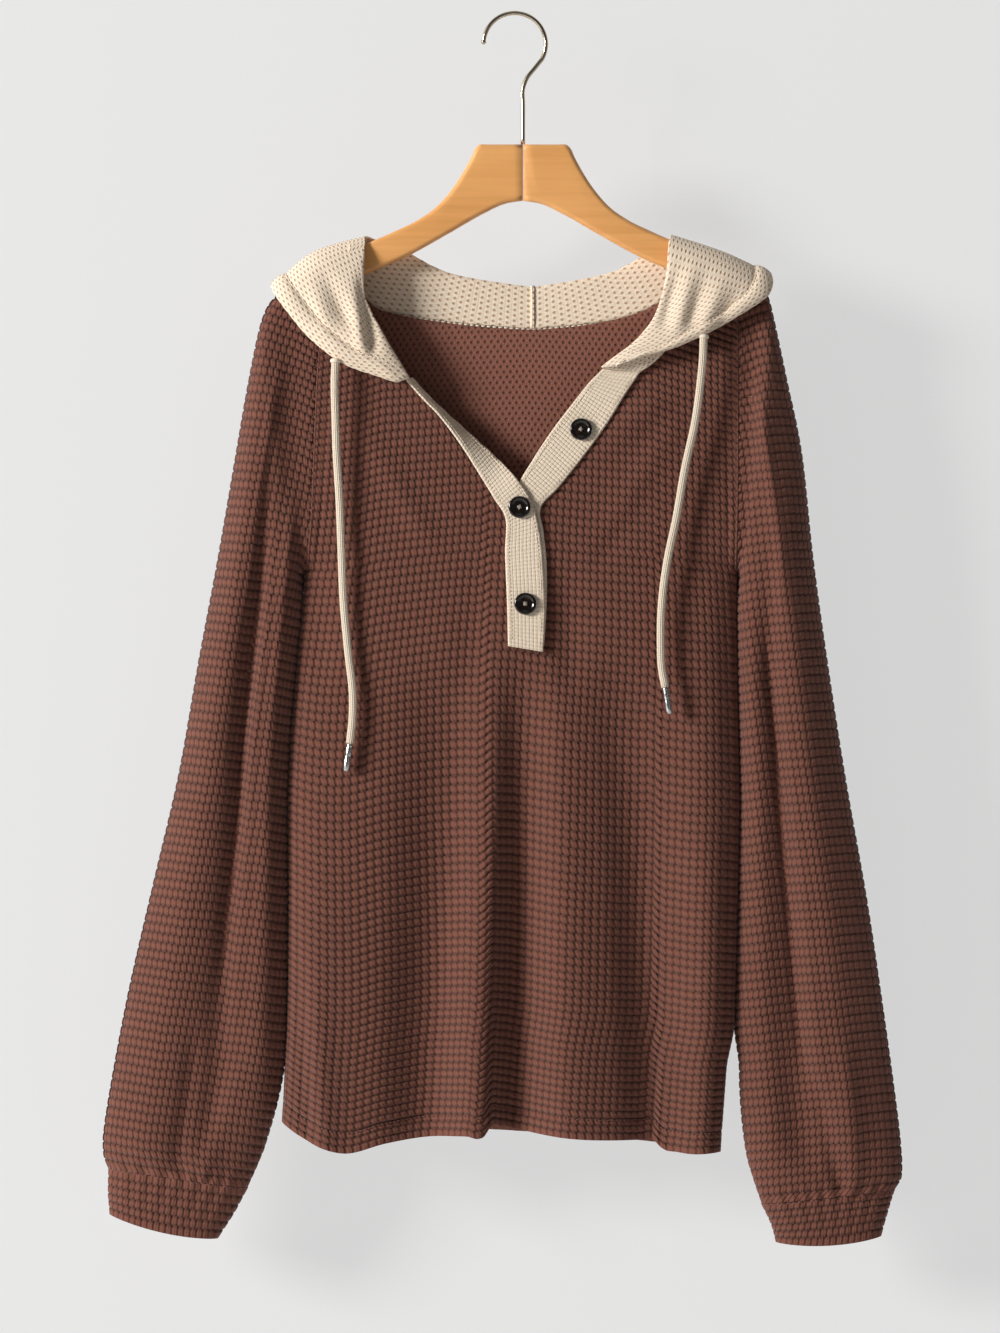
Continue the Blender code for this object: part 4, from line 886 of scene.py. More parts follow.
@dataclass
class Wall:
    """A closed cloth wall between two grids of points.

    The outer face has every grid line, and the inner face only some of them. Rims with many
    corners join the two, so the wall stays closed.

    Attributes:
        name: the piece's name.
        outer: points of the outer face, (rows, columns, 3), in millimetres.
        inner: points of the inner face on the same lines.
        cells: places in cell units, (rows, columns, 2), kept as the UV map.
        row_step: the inner face has every so many rows.
        column_step: and every so many columns.
        ring: the first and the last column are one line.
    """

    name: str
    outer: Array
    inner: Array
    cells: Array
    row_step: int = 1
    column_step: int = 1
    ring: bool = False

    def build(self, finishes: Sequence[Material]) -> Piece:
        """The wall as an object.

        Args:
            finishes: the outer face's material, then the inner face's.

        Returns:
            The object, with lines that fall together merged.
        """
        rows, columns = self.outer.shape[:2]
        kept_rows, kept_columns = kept_lines(rows, self.row_step), kept_lines(columns, self.column_step)
        kept = np.ix_(kept_rows, kept_columns)
        number = np.arange(rows * columns).reshape(rows, columns)
        inner_number = rows * columns + np.arange(len(kept_rows) * len(kept_columns)).reshape(
            len(kept_rows), len(kept_columns))
        outer_quads, inner_quads = grid_quads(number), grid_quads(inner_number)[:, ::-1]
        rims = rim(number[0], inner_number[0], kept_columns) + rim(number[-1], inner_number[-1], kept_columns)
        if not self.ring:
            for end in (0, -1):
                rims += rim(number[:, end], inner_number[:, end], kept_rows)
        points = np.concatenate((self.outer.reshape(-1, 3), self.inner[kept].reshape(-1, 3))) * MM
        cells = np.concatenate((self.cells.reshape(-1, 2), self.cells[kept].reshape(-1, 2)))
        faces = outer_quads.tolist() + inner_quads.tolist() + rims
        mesh = bpy.data.meshes.new(self.name)
        mesh.from_pydata(points.tolist(), [], faces)
        corners = np.array([corner for face in faces for corner in face])
        mesh.uv_layers.new(name="cells").data.foreach_set("uv", cells[corners].ravel())
        side = np.zeros(len(faces), dtype=np.int32)
        side[len(outer_quads):len(outer_quads) + len(inner_quads)] = 1
        mesh.polygons.foreach_set("material_index", side)
        close_mesh(mesh)
        return link(self.name, mesh, finishes)


def kept_lines(count: int, step: int) -> list[int]:
    """Every so many of a grid's lines, and always the last one."""
    kept = list(range(0, count, step))
    return kept if kept[-1] == count - 1 else kept + [count - 1]


def grid_quads(number: Array) -> Array:
    """Corners of the quads between the points of a grid, given by their numbers."""
    quads = np.stack((number[:-1, :-1], number[:-1, 1:], number[1:, 1:], number[1:, :-1]), axis=-1)
    return quads.reshape(-1, 4)


def rim(outer: Array, inner: Array, kept: Sequence[int]) -> Faces:
    """Faces between a fine edge and a coarse one that has only its kept points."""
    return [outer[start:end + 1].tolist() + [int(inner[place + 1]), int(inner[place])]
            for place, (start, end) in enumerate(zip(kept[:-1], kept[1:]))]


def close_mesh(mesh: bpy.types.Mesh) -> None:
    """Merge points that fall together, turn all faces outwards and shade them smooth."""
    build = bmesh.new()
    build.from_mesh(mesh)
    bmesh.ops.remove_doubles(build, verts=build.verts, dist=0.002 * MM)
    bmesh.ops.recalc_face_normals(build, faces=build.faces)
    build.to_mesh(mesh)
    build.free()
    mesh.shade_smooth()


def solid_object(name: str, solid: Solid, finish: Material) -> Piece:
    """An object from points in millimetres and faces."""
    points, faces = solid
    mesh = bpy.data.meshes.new(name)
    mesh.from_pydata((points * MM).tolist(), [], faces)
    close_mesh(mesh)
    return link(name, mesh, [finish])


def closed_rings(rings: Array) -> Solid:
    """A solid through rings of points, (rings, points, 3), closed at both ends."""
    count, sides = rings.shape[:2]
    number = np.arange(count * sides).reshape(count, sides)
    faces = grid_quads(np.concatenate((number, number[:, :1]), axis=1)).tolist()
    return rings.reshape(-1, 3), faces + [number[0].tolist()[::-1], number[-1].tolist()]


def tube(points: Array, radii: Array, sides: int, flatness: float = 1.0) -> Solid:
    """A round tube along a line, closed at both ends.

    Each ring stands square to the line. Its first direction is carried along from ring to ring.

    Args:
        points: the line's points, in millimetres.
        radii: the radius at each.
        sides: corners of a ring.
        flatness: thickness as a share of the width.

    Returns:
        The tube's points and its faces.
    """
    ways = unit(np.gradient(points, axis=0))
    first = np.cross(ways[0], (0.0, 1.0, 0.0) if abs(ways[0][1]) < 0.9 else (1.0, 0.0, 0.0))
    turns = np.linspace(0.0, 2.0 * np.pi, sides, endpoint=False)[:, None]
    rings = []
    for point, way, radius in zip(points, ways, np.broadcast_to(radii, len(points))):
        first = first - way * (first @ way)
        first /= np.linalg.norm(first)
        second = np.cross(way, first)
        rings.append(point + radius * (np.cos(turns) * first + flatness * np.sin(turns) * second))
    return closed_rings(np.array(rings))


def turned(profile: Sequence[tuple[float, float]], sides: int) -> Solid:
    """A turned solid about +Z from (radius, height) pairs, closed at both ends."""
    turns = np.linspace(0.0, 2.0 * np.pi, sides, endpoint=False)
    return closed_rings(np.array([
        np.stack((radius * np.cos(turns), radius * np.sin(turns), np.full(sides, height)), axis=1)
        for radius, height in profile]))


def join_parts(parts: Sequence[Solid]) -> Solid:
    """Several sets of points and faces as one."""
    faces, start = [], 0
    for part_points, part_faces in parts:
        faces.extend([[corner + start for corner in face] for face in part_faces])
        start += len(part_points)
    return np.concatenate([part_points for part_points, _ in parts]), faces


# ---------------------------------------------------------------- body panels
NECK_STEPS = 160            # points of a neck edge
NECK_STEP = 1e-5            # keeps their places rising
ARM_AWAY = 110.0            # nearer to the middle than this the rows no longer follow the arm
SHOULDER_AWAY = 172.0       # the rows' level at the shoulder is the arm's here
ARM_POWER = 5
SIDE_SET = (120.0, 320.0)   # the side sets in from so far under the armpit, over this height
SIDE_START = {"left": -180.0, "right": 172.0}
COLUMN_WANDER = (1.3, 0.55)     # seeds and sizes of the unevenness
ROW_WANDER = (4.2, 0.7)
SLEEVE_WANDER = (2.7, 0.7)
SIDE_FADE = 40.0            # the relief fades in the last fortieth beside a side seam
SIDE_RELIEF = 0.25          # to this share
ARMHOLE_THREAD_IN = 0.35
HEM_THREAD_SUNK = 0.55
SLOPE_STEP = 0.5


def panel_sides(height: Array) -> tuple[Array, Array]:
    """Middle and half width of a body panel at a height."""
    left, right = side_x("left", height), side_x("right", height)
    return (left + right) / 2, (right - left) / 2


@dataclass
class BodyPanel:
    """The front or the back, from its hem to the shoulder seams.

    Attributes:
        name: the piece's name, and its depth column in the body's table.
        facing: which way its outer face looks.
        folds: the folds of the solid.
        creases: the finer folds.
        hem: the hem's points.
        neck: the neck edge's points on the left and on the right.
        lines: whether the front's crest and trough lines apply.
        columns: cells across.
        rows: cells from the hem to the shoulder.
        lift: how far the rows climb to the middle.
    """

    name: str
    facing: Facing
    folds: tuple[Fold, ...]
    creases: tuple[FineFold, ...]
    hem: Sequence[ViewPoint]
    neck: tuple[Sequence[ViewPoint], Sequence[ViewPoint]]
    lines: bool
    columns: int = 64
    rows: int = 110
    lift: float = 15.0

    def neck_height(self, x: Array) -> Array:
        """Height of the neck edge at x, and far above the panel beside it."""
        shares = np.linspace(0.0, 1.0, NECK_STEPS)
        halves = []
        for sign, points in zip(SIGN.values(), self.neck):
            edge = along_edge(points, shares)
            edge[:, 1] += (shoulder_height(points[-1].x) - points[-1].height) * shares
            rising = np.maximum.accumulate(sign * edge[:, 0]) * sign
            edge[:, 0] = rising + sign * np.arange(NECK_STEPS) * NECK_STEP
            halves.append(edge)
        edge = np.concatenate((halves[0][::-1], halves[1][1:]))
        height = np.interp(x, edge[:, 0], edge[:, 1])
        return np.where((x < edge[0, 0]) | (x > edge[-1, 0]), 0.0, height)

    def hem_height(self, x: Array) -> Array:
        """Height of the hem at x."""
        return smooth_curve([point.x for point in self.hem], [point.height for point in self.hem], x)

    def row_height(self, share: Array, x: Array, across: Array) -> Array:
        """Height of a knit row, which goes over from the hem's line to the shoulder's.

        Between the two it climbs to the middle, because the cloth hangs from its shoulders.
        """
        top = shoulder_height(HANGER_CENTRE + np.maximum(np.abs(x - HANGER_CENTRE), ARM_AWAY))
        flat = float(shoulder_height(HANGER_CENTRE + SHOULDER_AWAY))
        climb = self.lift * (1.0 - np.abs(across)) * 4.0 * share * (1.0 - share)
        return self.hem_height(x) * (1.0 - share) + flat * share + (top - flat) * share ** ARM_POWER + climb

    def depth(self, x: Array, height: Array, across: Array) -> Array:
        """Depth of the outer face, with the fine creases."""
        across = np.clip(across, -1.0, 1.0)
        depth = panel_depth(self.name, self.folds + self.creases, x, height, across)
        if self.lines:
            inside = 1.0 - np.abs(across) ** LINES_EDGE_POWER
            solid = fold_rise(self.folds, x, height) * (1.0 - np.abs(across) ** FOLD_EDGE_POWER)
            share = smooth_step((LINES_FROM - height) / LINES_BLEND) * inside
            depth = depth + share * (between_lines(x, height) - solid)
        below = over_shoulder(shoulder_height(x) - height)
        return depth + SEAM_GAP / 2 + SHOULDER_SEAM_OPENING * (1.0 - below)

    def run_depth(self, x: Array, height: Array, across: Array) -> Array:
        """Depth along which the columns are spaced: the side sets in slowly above the armpit."""
        below, over = SIDE_SET
        edge = ARMHOLE_DEPTH * smooth_step((height - ARMPIT_HEIGHT + below) / over)
        side = edge + (1.0 - edge) * np.maximum(1.0 - np.abs(across) ** SIDE_POWER, 0.0) ** (1.0 / SIDE_POWER)
        folds = fold_rise(self.folds + self.creases, x, height)
        if self.lines:
            share = smooth_step((LINES_FROM - height) / LINES_BLEND)
            folds = folds * (1.0 - share) + between_lines(x, height) * share
        return body_value(self.name, height) * side + folds * (1.0 - np.abs(across) ** FOLD_EDGE_POWER)

    def front_view(self) -> tuple[Array, Array, Array]:
        """Grid of the panel in the front view.

        The columns lie at equal lengths along each row, folds included. From where a column
        meets the neck edge, the rest of it stays there.

        Returns:
            x and height of the points, and whether they lie beyond the neck edge.
        """
        row_lines, column_lines = cell_lines(self.rows, ROW_SHARES), cell_lines(self.columns, COLUMN_SHARES)
        share = (row_lines / self.rows)[:, None]
        share = share - ROW_SPREAD * np.sin(2.0 * np.pi * share) / (2.0 * np.pi)
        ends = {side: np.full(len(share), start) for side, start in SIDE_START.items()}
        for side in list(SIGN) * 3:
            ends[side] = side_x(side, self.row_height(share[:, 0], ends[side], SIGN[side]))
        left, right = ends["left"], ends["right"]
        middle, half = ((left + right) / 2)[:, None], ((right - left) / 2)[:, None]
        fine = np.linspace(-1.0, 1.0, 361)[None, :]
        dense_x = middle + half * fine
        dense_height = self.row_height(share, dense_x, fine)
        dense = np.stack((dense_x, self.run_depth(dense_x, dense_height, fine)), axis=-1)
        wanted = column_lines / self.columns
        runs = lengths_along(dense, 1)
        x = np.array([np.interp(wanted, run / run[-1], line) for run, line in zip(runs, dense_x)])
        inside = np.sin(np.pi * wanted)[None, :]
        seed, size = COLUMN_WANDER
        x = x + wander(column_lines[None, :], row_lines[:, None], seed + self.facing.value, size) * inside
        height = self.row_height(share, x, (x - middle) / half)
        seed, size = ROW_WANDER
        sway = wander(row_lines[:, None], column_lines[None, :], seed + self.facing.value, size)
        height = height + sway * np.sin(np.pi * share) * inside
        return x, height, self.stop_at_neck(x, height)

    def stop_at_neck(self, x: Array, height: Array) -> Array:
        """Keep every column's points beyond the neck edge at the place where it meets the edge."""
        room = self.neck_height(x) - height
        beyond = room < 0.0
        for column in np.flatnonzero(beyond.any(axis=0)):
            first = int(np.argmax(beyond[:, column]))
            before, after = room[first - 1, column], room[first, column]
            share = before / (before - after)
            at = x[first - 1, column] + (x[first, column] - x[first - 1, column]) * share
            beyond[first:, column] = True
            x[first:, column] = at
            height[first:, column] = self.neck_height(np.array(at))
        return beyond

    def build(self, finishes: Sequence[Material]) -> Piece:
        """The panel as a closed wall."""
        x, height, beyond = self.front_view()
        points, normal = self.surface(x, height)
        column, row = np.broadcast_arrays(
            cell_lines(self.columns, COLUMN_SHARES)[None, :], cell_lines(self.rows, ROW_SHARES)[:, None])
        row = np.maximum(hold_from(row, beyond), EDGE_ROW)
        middle, half = panel_sides(height)
        relief = BODY_WAFFLE.relief(column, row) + self.seam_relief(x, height)
        edge = np.clip((1.0 - np.abs((x - middle) / half)) * SIDE_FADE, 0.0, 1.0)
        outer = points + normal * (relief * (SIDE_RELIEF + (1.0 - SIDE_RELIEF) * edge))[..., None]
        cells = np.stack((column, row), axis=-1)
        wall = Wall(self.name, outer, points - normal * WALL, cells, len(ROW_SHARES), len(COLUMN_SHARES))
        return finished(wall.build(finishes), self.name)

    def armhole_line(self, side: str) -> Line:
        """Middle points and ways of the armhole's seam."""
        height = np.linspace(ARMPIT_HEIGHT + 2.0, ARMHOLE_TOP, 160)
        line, ways = self.surface(side_x(side, height) - SIGN[side] * ARMHOLE_THREAD_IN, height)
        return line - ways * SEAM_SUNK, ways

    def hem_line(self) -> Line:
        """Middle points and ways of the hem's stitches."""
        x = np.linspace(*HEM_STITCH_ENDS, 420)
        line, ways = self.surface(x, self.hem_height(x) + HEM_STITCH)
        return line - ways * HEM_THREAD_SUNK, ways

    def seam_relief(self, x: Array, height: Array) -> Array:
        """The hem's sewn line and the armhole's: narrow grooves, the cloth a little padded beside them."""
        above_hem = height - self.hem_height(x)
        relief = -1.3 * bell(above_hem - HEM_STITCH, 1.9) + 0.5 * smooth_step(1.0 - above_hem / HEM_STITCH)
        middle, half = panel_sides(height)
        from_side = half - np.abs(x - middle)
        upper = smooth_step((height - ARMPIT_HEIGHT) / 20.0)
        return relief + upper * (0.5 * bell(from_side - 3.0, 2.6) - 0.8 * bell(from_side - 7.5, 1.6))

    def surface(self, x: Array, height: Array) -> tuple[Array, Array]:
        """Points of the outer face at places of the front view, and their outward normals."""
        middle, half = panel_sides(height)

        def depth(at_x: Array, at_height: Array) -> Array:
            """Depth with the place across taken from this height."""
            return self.depth(at_x, at_height, (at_x - middle) / half)

        slope_x = depth(x + SLOPE_STEP, height) - depth(x - SLOPE_STEP, height)
        slope_height = depth(x, height + SLOPE_STEP) - depth(x, height - SLOPE_STEP)
        normal = unit(np.stack((-slope_x, np.full_like(x, self.facing.value), -slope_height), axis=-1))
        return np.stack((x, self.facing.value * depth(x, height), height), axis=-1), normal


# ---------------------------------------------------------------- sleeves and cuffs
TUBE_COLUMN_STEP = 3        # the inner face has every third line round a ring
RING_STEP = 0.006           # place round a ring, on either side, that gives the slope there
SLEEVE_STEP = 0.02          # and along the table's rows
CUFF_STEP = 0.05
SPACED_RING = 10.0          # the sleeve's columns are spaced equally at this row
SEAM_GROOVE = 0.7           # along the sleeve's own seam
REAR_FOLDS = -0.7           # share of the front's folds that shows behind
CUFF_ROWS = 6
GATHER_EDGE_POWER = 6


@dataclass
class ClothTube:
    """A sleeve or a cuff, made of rings from its seam down to its other end.

    Round a ring the place runs from -1, the inner end, over the back, 0, the outer end, and the
    front to 1, the inner end again. There the sleeve's own seam lies.

    Attributes:
        side: "left" or "right".
        table: its rings.
        around: grid lines round a ring.
    """

    side: str
    table: Sequence[tuple]
    around: int

    def points(self, place: Array, ring_place: Array) -> Array:
        """Points of the outer face, which each kind of tube works out in its own way."""
        raise NotImplementedError

    def flat_ring(self, place: Array, ring_place: Array) -> tuple[Array, ...]:
        """Where points lie on their rings, as if these were flat.

        Args:
            place: rows of the table, 0 at the upper end.
            ring_place: place round the ring, -1 to 1.

        Returns:
            The place, the share across, whether it is in front, the table's values there, and
            x and height.
        """
        place, ring_place = np.broadcast_arrays(place, ring_place)
        ring_place = ring_place - 2.0 * np.round(ring_place / 2.0)
        across = np.abs(ring_place)
        ring = smooth_curve(np.arange(len(self.table)), self.table, place)
        x = ring[..., 0] + (ring[..., 2] - ring[..., 0]) * across
        height = ring[..., 1] + (ring[..., 3] - ring[..., 1]) * across
        return place, across, ring_place >= 0.0, ring, x, height

    def spaced(self, place: float, steps: int) -> Array:
        """Places at equal lengths round the ring at a place of the table."""
        fine = np.linspace(-1.0, 1.0, steps)
        run = lengths_along(self.points(np.full(steps, place), fine), 0)
        return np.interp(np.linspace(0.0, run[-1], self.around + 1), run, fine)

    def normals(self, place: Array, ring_place: Array, step: float) -> Array:
        """Outward normals, from the points a step away on either side."""
        ends = np.minimum(place + step, len(self.table) - 1.0), np.maximum(place - step, 0.0)
        along = self.points(ends[0], ring_place) - self.points(ends[1], ring_place)
        around = self.points(place, ring_place + RING_STEP) - self.points(place, ring_place - RING_STEP)
        normal = unit(np.cross(around, along))
        return -normal if (normal[..., 1] * np.sign(-ring_place + 1e-9)).sum() < 0.0 else normal

    def columns(self, run: Array, waffle: Waffle) -> Array:
        """Places across in cells, counted from the outer end, from the run round each ring."""
        middle = self.around // 2
        return (run - run[:, middle:middle + 1]) / waffle.column

    def wall(self, kind: str, points: Array, normal: Array, relief: Array, cells: Array,
             finishes: Sequence[Material]) -> Piece:
        """The tube as a closed wall, with its first and its last column joined.

        Args:
            kind: "sleeve" or "cuff", the first part of the piece's name.
            points: points of the outer face.
            normal: outward normals there.
            relief: height of the pattern there.
            cells: places in cell units.
            finishes: the outer face's material, then the inner face's.

        Returns:
            The finished piece.
        """
        outer, inner = points + normal * relief[..., None], points - normal * WALL
        for face in (outer, inner):
            face[:, 0] = face[:, -1]
        name = f"{kind}_{self.side}"
        wall = Wall(name, outer, inner, cells, len(ROW_SHARES), TUBE_COLUMN_STEP, ring=True)
        return finished(wall.build(finishes), name)


@dataclass
class Sleeve(ClothTube):
    """A sleeve from its armhole seam down to the cuff."""

    around: int = 108

    def points(self, place: Array, ring_place: Array) -> Array:
        """Points of the outer face: the armhole seam's curve that becomes a tube, with its folds."""
        place, across, is_front, ring, x, height = self.flat_ring(place, ring_place)
        sign, first = SIGN[self.side], np.array(self.table[0], float)
        seam_x = first[0] + (first[2] - first[0]) * across
        seam_height = first[1] + (first[3] - first[1]) * across
        bow = body_value(self.side, seam_height) + sign * SLEEVE_SET - seam_x
        x = x + bow * (1.0 - smooth_step(place / SEAM_ROWS))
        x = x - sign * side_room(self.side, ring[..., 3]) * across ** 4
        below = np.hypot(x - ring[..., 0], height - ring[..., 1])
        panel = np.where(is_front, body_value("front", height), body_value("back", height))
        at_shoulder = panel * armhole_share(np.maximum(height, ARMPIT_HEIGHT)) * over_shoulder(below)
        tube_depth = np.where(is_front, ring[..., 4], ring[..., 5]) * tube_share(across)
        become = smooth_step((place - RINGS_OVER_ARM) / RINGS_TO_TUBE)
        depth = at_shoulder + (tube_depth - at_shoulder) * become
        folds = SLEEVE_FOLDS[self.side] + SLEEVE_CREASES[self.side]
        rise = sleeve_fold_rise(folds, place, across) * (1.0 - np.abs(2.0 * across - 1.0) ** 8)
        depth = depth + np.where(is_front, rise, REAR_FOLDS * rise)
        gather = smooth_step((place - GATHER_FROM) / 1.4) * SLEEVE_GATHER
        gather = gather * np.sin(across * 58.0 + 2.0 * np.sin(across * 9.0))
        depth = depth + gather * (1.0 - np.abs(2.0 * across - 1.0) ** GATHER_EDGE_POWER)
        return np.stack((x, np.where(is_front, -depth, depth), height), axis=-1)

    def grid(self) -> tuple[Array, Array, Array, Array]:
        """Rows at equal lengths from the cuff, columns at equal lengths round the upper arm.

        A column that reaches the armhole stays there for the rest of the rows.

        Returns:
            place in the table's rows, place round the ring, whether the column has reached the
            armhole, and the row of each line in cells.
        """
        ring_places = self.spaced(SPACED_RING, 801)
        ring_places[self.around // 2] = 0.0
        places = np.linspace(len(self.table) - 1.0, 0.0, 500)
        run = lengths_along(self.points(places[:, None], ring_places[None, :]), 0)
        row_lines = cell_lines(int(math.ceil(run[-1].max() / SLEEVE_WAFFLE.row)), ROW_SHARES)
        wave = wander(row_lines[:, None], 10.0 * ring_places[None, :], *SLEEVE_WANDER)
        wanted = row_lines[:, None] * SLEEVE_WAFFLE.row + wave * smooth_step(row_lines / 3.0)[:, None]
        place = np.stack([np.interp(*rows, places) for rows in zip(wanted.T, run.T)], axis=1)
        return place, np.broadcast_to(ring_places, place.shape), wanted >= run[-1], row_lines

    def build(self, finishes: Sequence[Material]) -> Piece:
        """The sleeve as a closed wall."""
        place, ring_place, ended, row_lines = self.grid()
        points = self.points(place, ring_place)
        normal = self.normals(place, ring_place, SLEEVE_STEP)
        normal[:, 0] = normal[:, -1] = (normal[:, 0] + normal[:, -1]) / 2
        run = lengths_along(points, 1)
        column = hold_from(self.columns(run, SLEEVE_WAFFLE), ended)
        row = np.maximum(hold_from(np.broadcast_to(row_lines[:, None], column.shape), ended), EDGE_ROW)
        from_seam = hold_from(np.minimum(run[:, -1:] - run, run), ended)
        relief = SLEEVE_WAFFLE.relief(column, row) - SEAM_GROOVE * bell(from_seam, 2.0)
        return self.wall("sleeve", points, normal, relief, np.stack((column, row), axis=-1), finishes)


@dataclass
class Cuff(ClothTube):
    """A cuff from its seam down to its open mouth."""

    around: int = 96

    def points(self, place: Array, ring_place: Array) -> Array:
        """Points of the outer face: a flat tube with gathers, which sags to its middle."""
        place, across, is_front, ring, x, height = self.flat_ring(place, ring_place)
        share = place / (len(self.table) - 1.0)
        height = height - CUFF_SAG * share ** 2 * (1.0 - (2.0 * across - 1.0) ** 2)
        gather = (1.0 - 0.45 * place) * CUFF_GATHER * np.sin(across * 52.0 + 1.0)
        fade = 1.0 - np.abs(2.0 * across - 1.0) ** GATHER_EDGE_POWER
        depth = ring[..., 4] * tube_share(across) + gather * fade
        return np.stack((x, np.where(is_front, -depth, depth), height), axis=-1)

    def build(self, finishes: Sequence[Material]) -> Piece:
        """The cuff as a closed wall."""
        ring_places = self.spaced(1.0, 601)[None, :]
        row_lines = cell_lines(CUFF_ROWS, ROW_SHARES)
        place = (row_lines / CUFF_ROWS * (len(self.table) - 1.0))[:, None]
        points = self.points(place, ring_places)
        normal = self.normals(place, ring_places, CUFF_STEP)
        column = self.columns(lengths_along(points, 1), CUFF_WAFFLE)
        row = np.broadcast_to(np.clip(row_lines, EDGE_ROW, CUFF_ROWS - EDGE_ROW)[:, None], column.shape)
        cells = np.stack((column, row), axis=-1)
        return self.wall("cuff", points, normal, CUFF_WAFFLE.relief(column, row), cells, finishes)

    def seam_line(self) -> Line:
        """Middle points and ways of the gathered seam that joins the cuff to the sleeve."""
        line = self.points(np.zeros(240), np.linspace(-1.0, 1.0, 240))
        ways = unit((line - line.mean(axis=0)) * np.array([0.15, 1.0, 0.0]))
        return line - ways * SEAM_SUNK, ways


# ---------------------------------------------------------------- hood
# Grid lines across the hood, from the neck seam to the edge: end of the stretch, lines up to it.
HOOD_STRETCHES = ((0.30, 34), (0.5, 16), (0.66, 26), (1.0, 44))
CENTRE_LINES = (6.8, 4.8, 3.2, 1.6, 0.0)    # distances of the last lines from the centre seam
CENTRE_ROOM = 9.0                           # the even ones end here
CASING_STITCH_OUT = 0.75


@dataclass
class HoodHalf:
    """Half the hood, from the placket round to the seam at the centre of the back.

    Attributes:
        side: "left" or "right".
        table: its sections.
        creases: the fine folds of its lapel.
        along: grid lines round the hood.
    """

    side: str
    table: Sequence[HoodRow]
    creases: Sequence[FineFold]
    along: int = 144

    def points(self, sections: Array, across: Array) -> Array:
        """Grid of the cloth's middle layer over places round the hood and across it."""
        stations = np.array([[row.seam, row.roll, row.fold, row.edge] for row in self.table], float)
        round_grid = smooth_curve(np.arange(len(self.table)), stations.reshape(len(self.table), -1), sections)
        round_grid = round_grid.reshape(len(sections), 4, 3).transpose(1, 0, 2).reshape(4, -1)
        grid = smooth_curve(HOOD_KNOTS, round_grid, across)
        return grid.reshape(len(across), len(sections), 3).transpose(1, 0, 2)

    def grid(self) -> Array:
        """The grid in equal lengths along the hood's fold, dense at the roll and at the fold."""
        fine = np.linspace(0.0, len(self.table) - 1.0, 900)
        run = lengths_along(self.points(fine, np.array([HOOD_KNOTS[2]])), 0)[:, 0]
        even = np.linspace(0.0, run[-1] - CENTRE_ROOM, self.along)
        sections = np.interp(np.append(even, run[-1] - np.array(CENTRE_LINES)), run, fine)
        starts = [0.0] + [end for end, _ in HOOD_STRETCHES]
        across = np.concatenate([np.linspace(start, end, count)[:-1]
                                 for start, (end, count) in zip(starts, HOOD_STRETCHES)] + [[1.0]])
        points = self.points(sections, across)
        turned_out = smooth_step((across - HOOD_KNOTS[1]) / 0.15)[None, :]
        turned_out = turned_out * smooth_step(-points[:, :1, 1] / 8.0)
        points[..., 1] -= fold_rise(self.creases, points[..., 0], points[..., 2]) * turned_out
        points[-1, :, 0] = self.table[-1].seam.x + SIGN[self.side] * SEAM_GAP / 2
        return points

    def build(self, finishes: Sequence[Material]) -> Piece:
        """The half as a closed wall with the casing along its edge."""
        points = self.grid()
        normal = -SIGN[self.side] * grid_normals(points)
        across_run = lengths_along(points, 1)
        from_edge = across_run[:, -1:] - across_run
        cells, row = self.cells(points)
        tunnel = CASING_RISE * np.sin(np.pi * np.clip(from_edge / CASING_WIDTH, 0.0, 1.0)) ** 0.6
        tunnel = (tunnel - 0.7 * bell(from_edge - CASING_WIDTH, 2.0)) * smooth_step(row / 60.0)
        tunnel = tunnel + CENTRE_SEAM_RISE * bell(row[-1:] - row, 2.4)
        ripple = 0.35 * np.sin(row / 7.5) * smooth_step((CASING_WIDTH + 14.0 - from_edge) / 14.0)
        ease = np.minimum(1.0, across_run / 8.0)
        face = normal * (WALL / 2 + tunnel * ease)[..., None]
        wave = normal * (ripple * ease)[..., None]
        name = "hood_" + self.side
        return finished(Wall(name, points + face + wave, points - face + wave, cells).build(finishes),
                        name)

    def cells(self, points: Array) -> tuple[Array, Array]:
        """Knit cells over the grid, and the run round the hood in millimetres.

        They are counted from the edge and from the placket. In the neck, where the cloth runs
        back from its seam, its columns are counted from the roll instead, and its rows keep
        their distance as seen from the front.
        """
        steps = np.diff(points, axis=1)
        length = np.linalg.norm(steps, axis=-1)
        seen = np.hypot(steps[..., 0], steps[..., 2]) * HOOD_PITCH / NECK_PITCH
        behind = smooth_step(points[:, ROLL_LINE, 1] / 8.0)[:, None]
        before_roll = np.arange(length.shape[1])[None, :] < ROLL_LINE
        length = np.where(before_roll, behind * seen + (1.0 - behind) * length, length)
        across = np.concatenate((np.zeros((len(points), 1)), np.cumsum(length, axis=1)), axis=1)
        round_steps = np.linalg.norm(np.diff(points[:, [ROLL_LINE, LAPEL_LINE, -1]], axis=0), axis=-1)
        weight = ((behind[1:] + behind[:-1]) / 2)[:, 0]
        round_steps = weight * round_steps[:, 0] + (1.0 - weight) * round_steps[:, 1:].mean(axis=1)
        row = np.broadcast_to(np.append(0.0, np.cumsum(round_steps))[:, None], across.shape)
        total = across[:, -1]
        wider = weight * np.diff(across[:, ROLL_LINE]) + (1.0 - weight) * np.diff(total)
        zero = total[0] + np.append(0.0, np.cumsum(wider))
        return np.stack(((zero[:, None] - across) / HOOD_PITCH, row / HOOD_ROW), axis=-1), row

    def neck_line(self) -> Line:
        """Middle points and ways of the stitches seen inside the neck, along the hood's seam."""
        line = self.points(np.linspace(NECK_FROM, len(self.table) - 1.0, 160), np.array([0.0]))[:, 0]
        way = np.array(NECK_WAY)
        return line + way * NECK_STITCH_OUT, np.broadcast_to(way, line.shape)

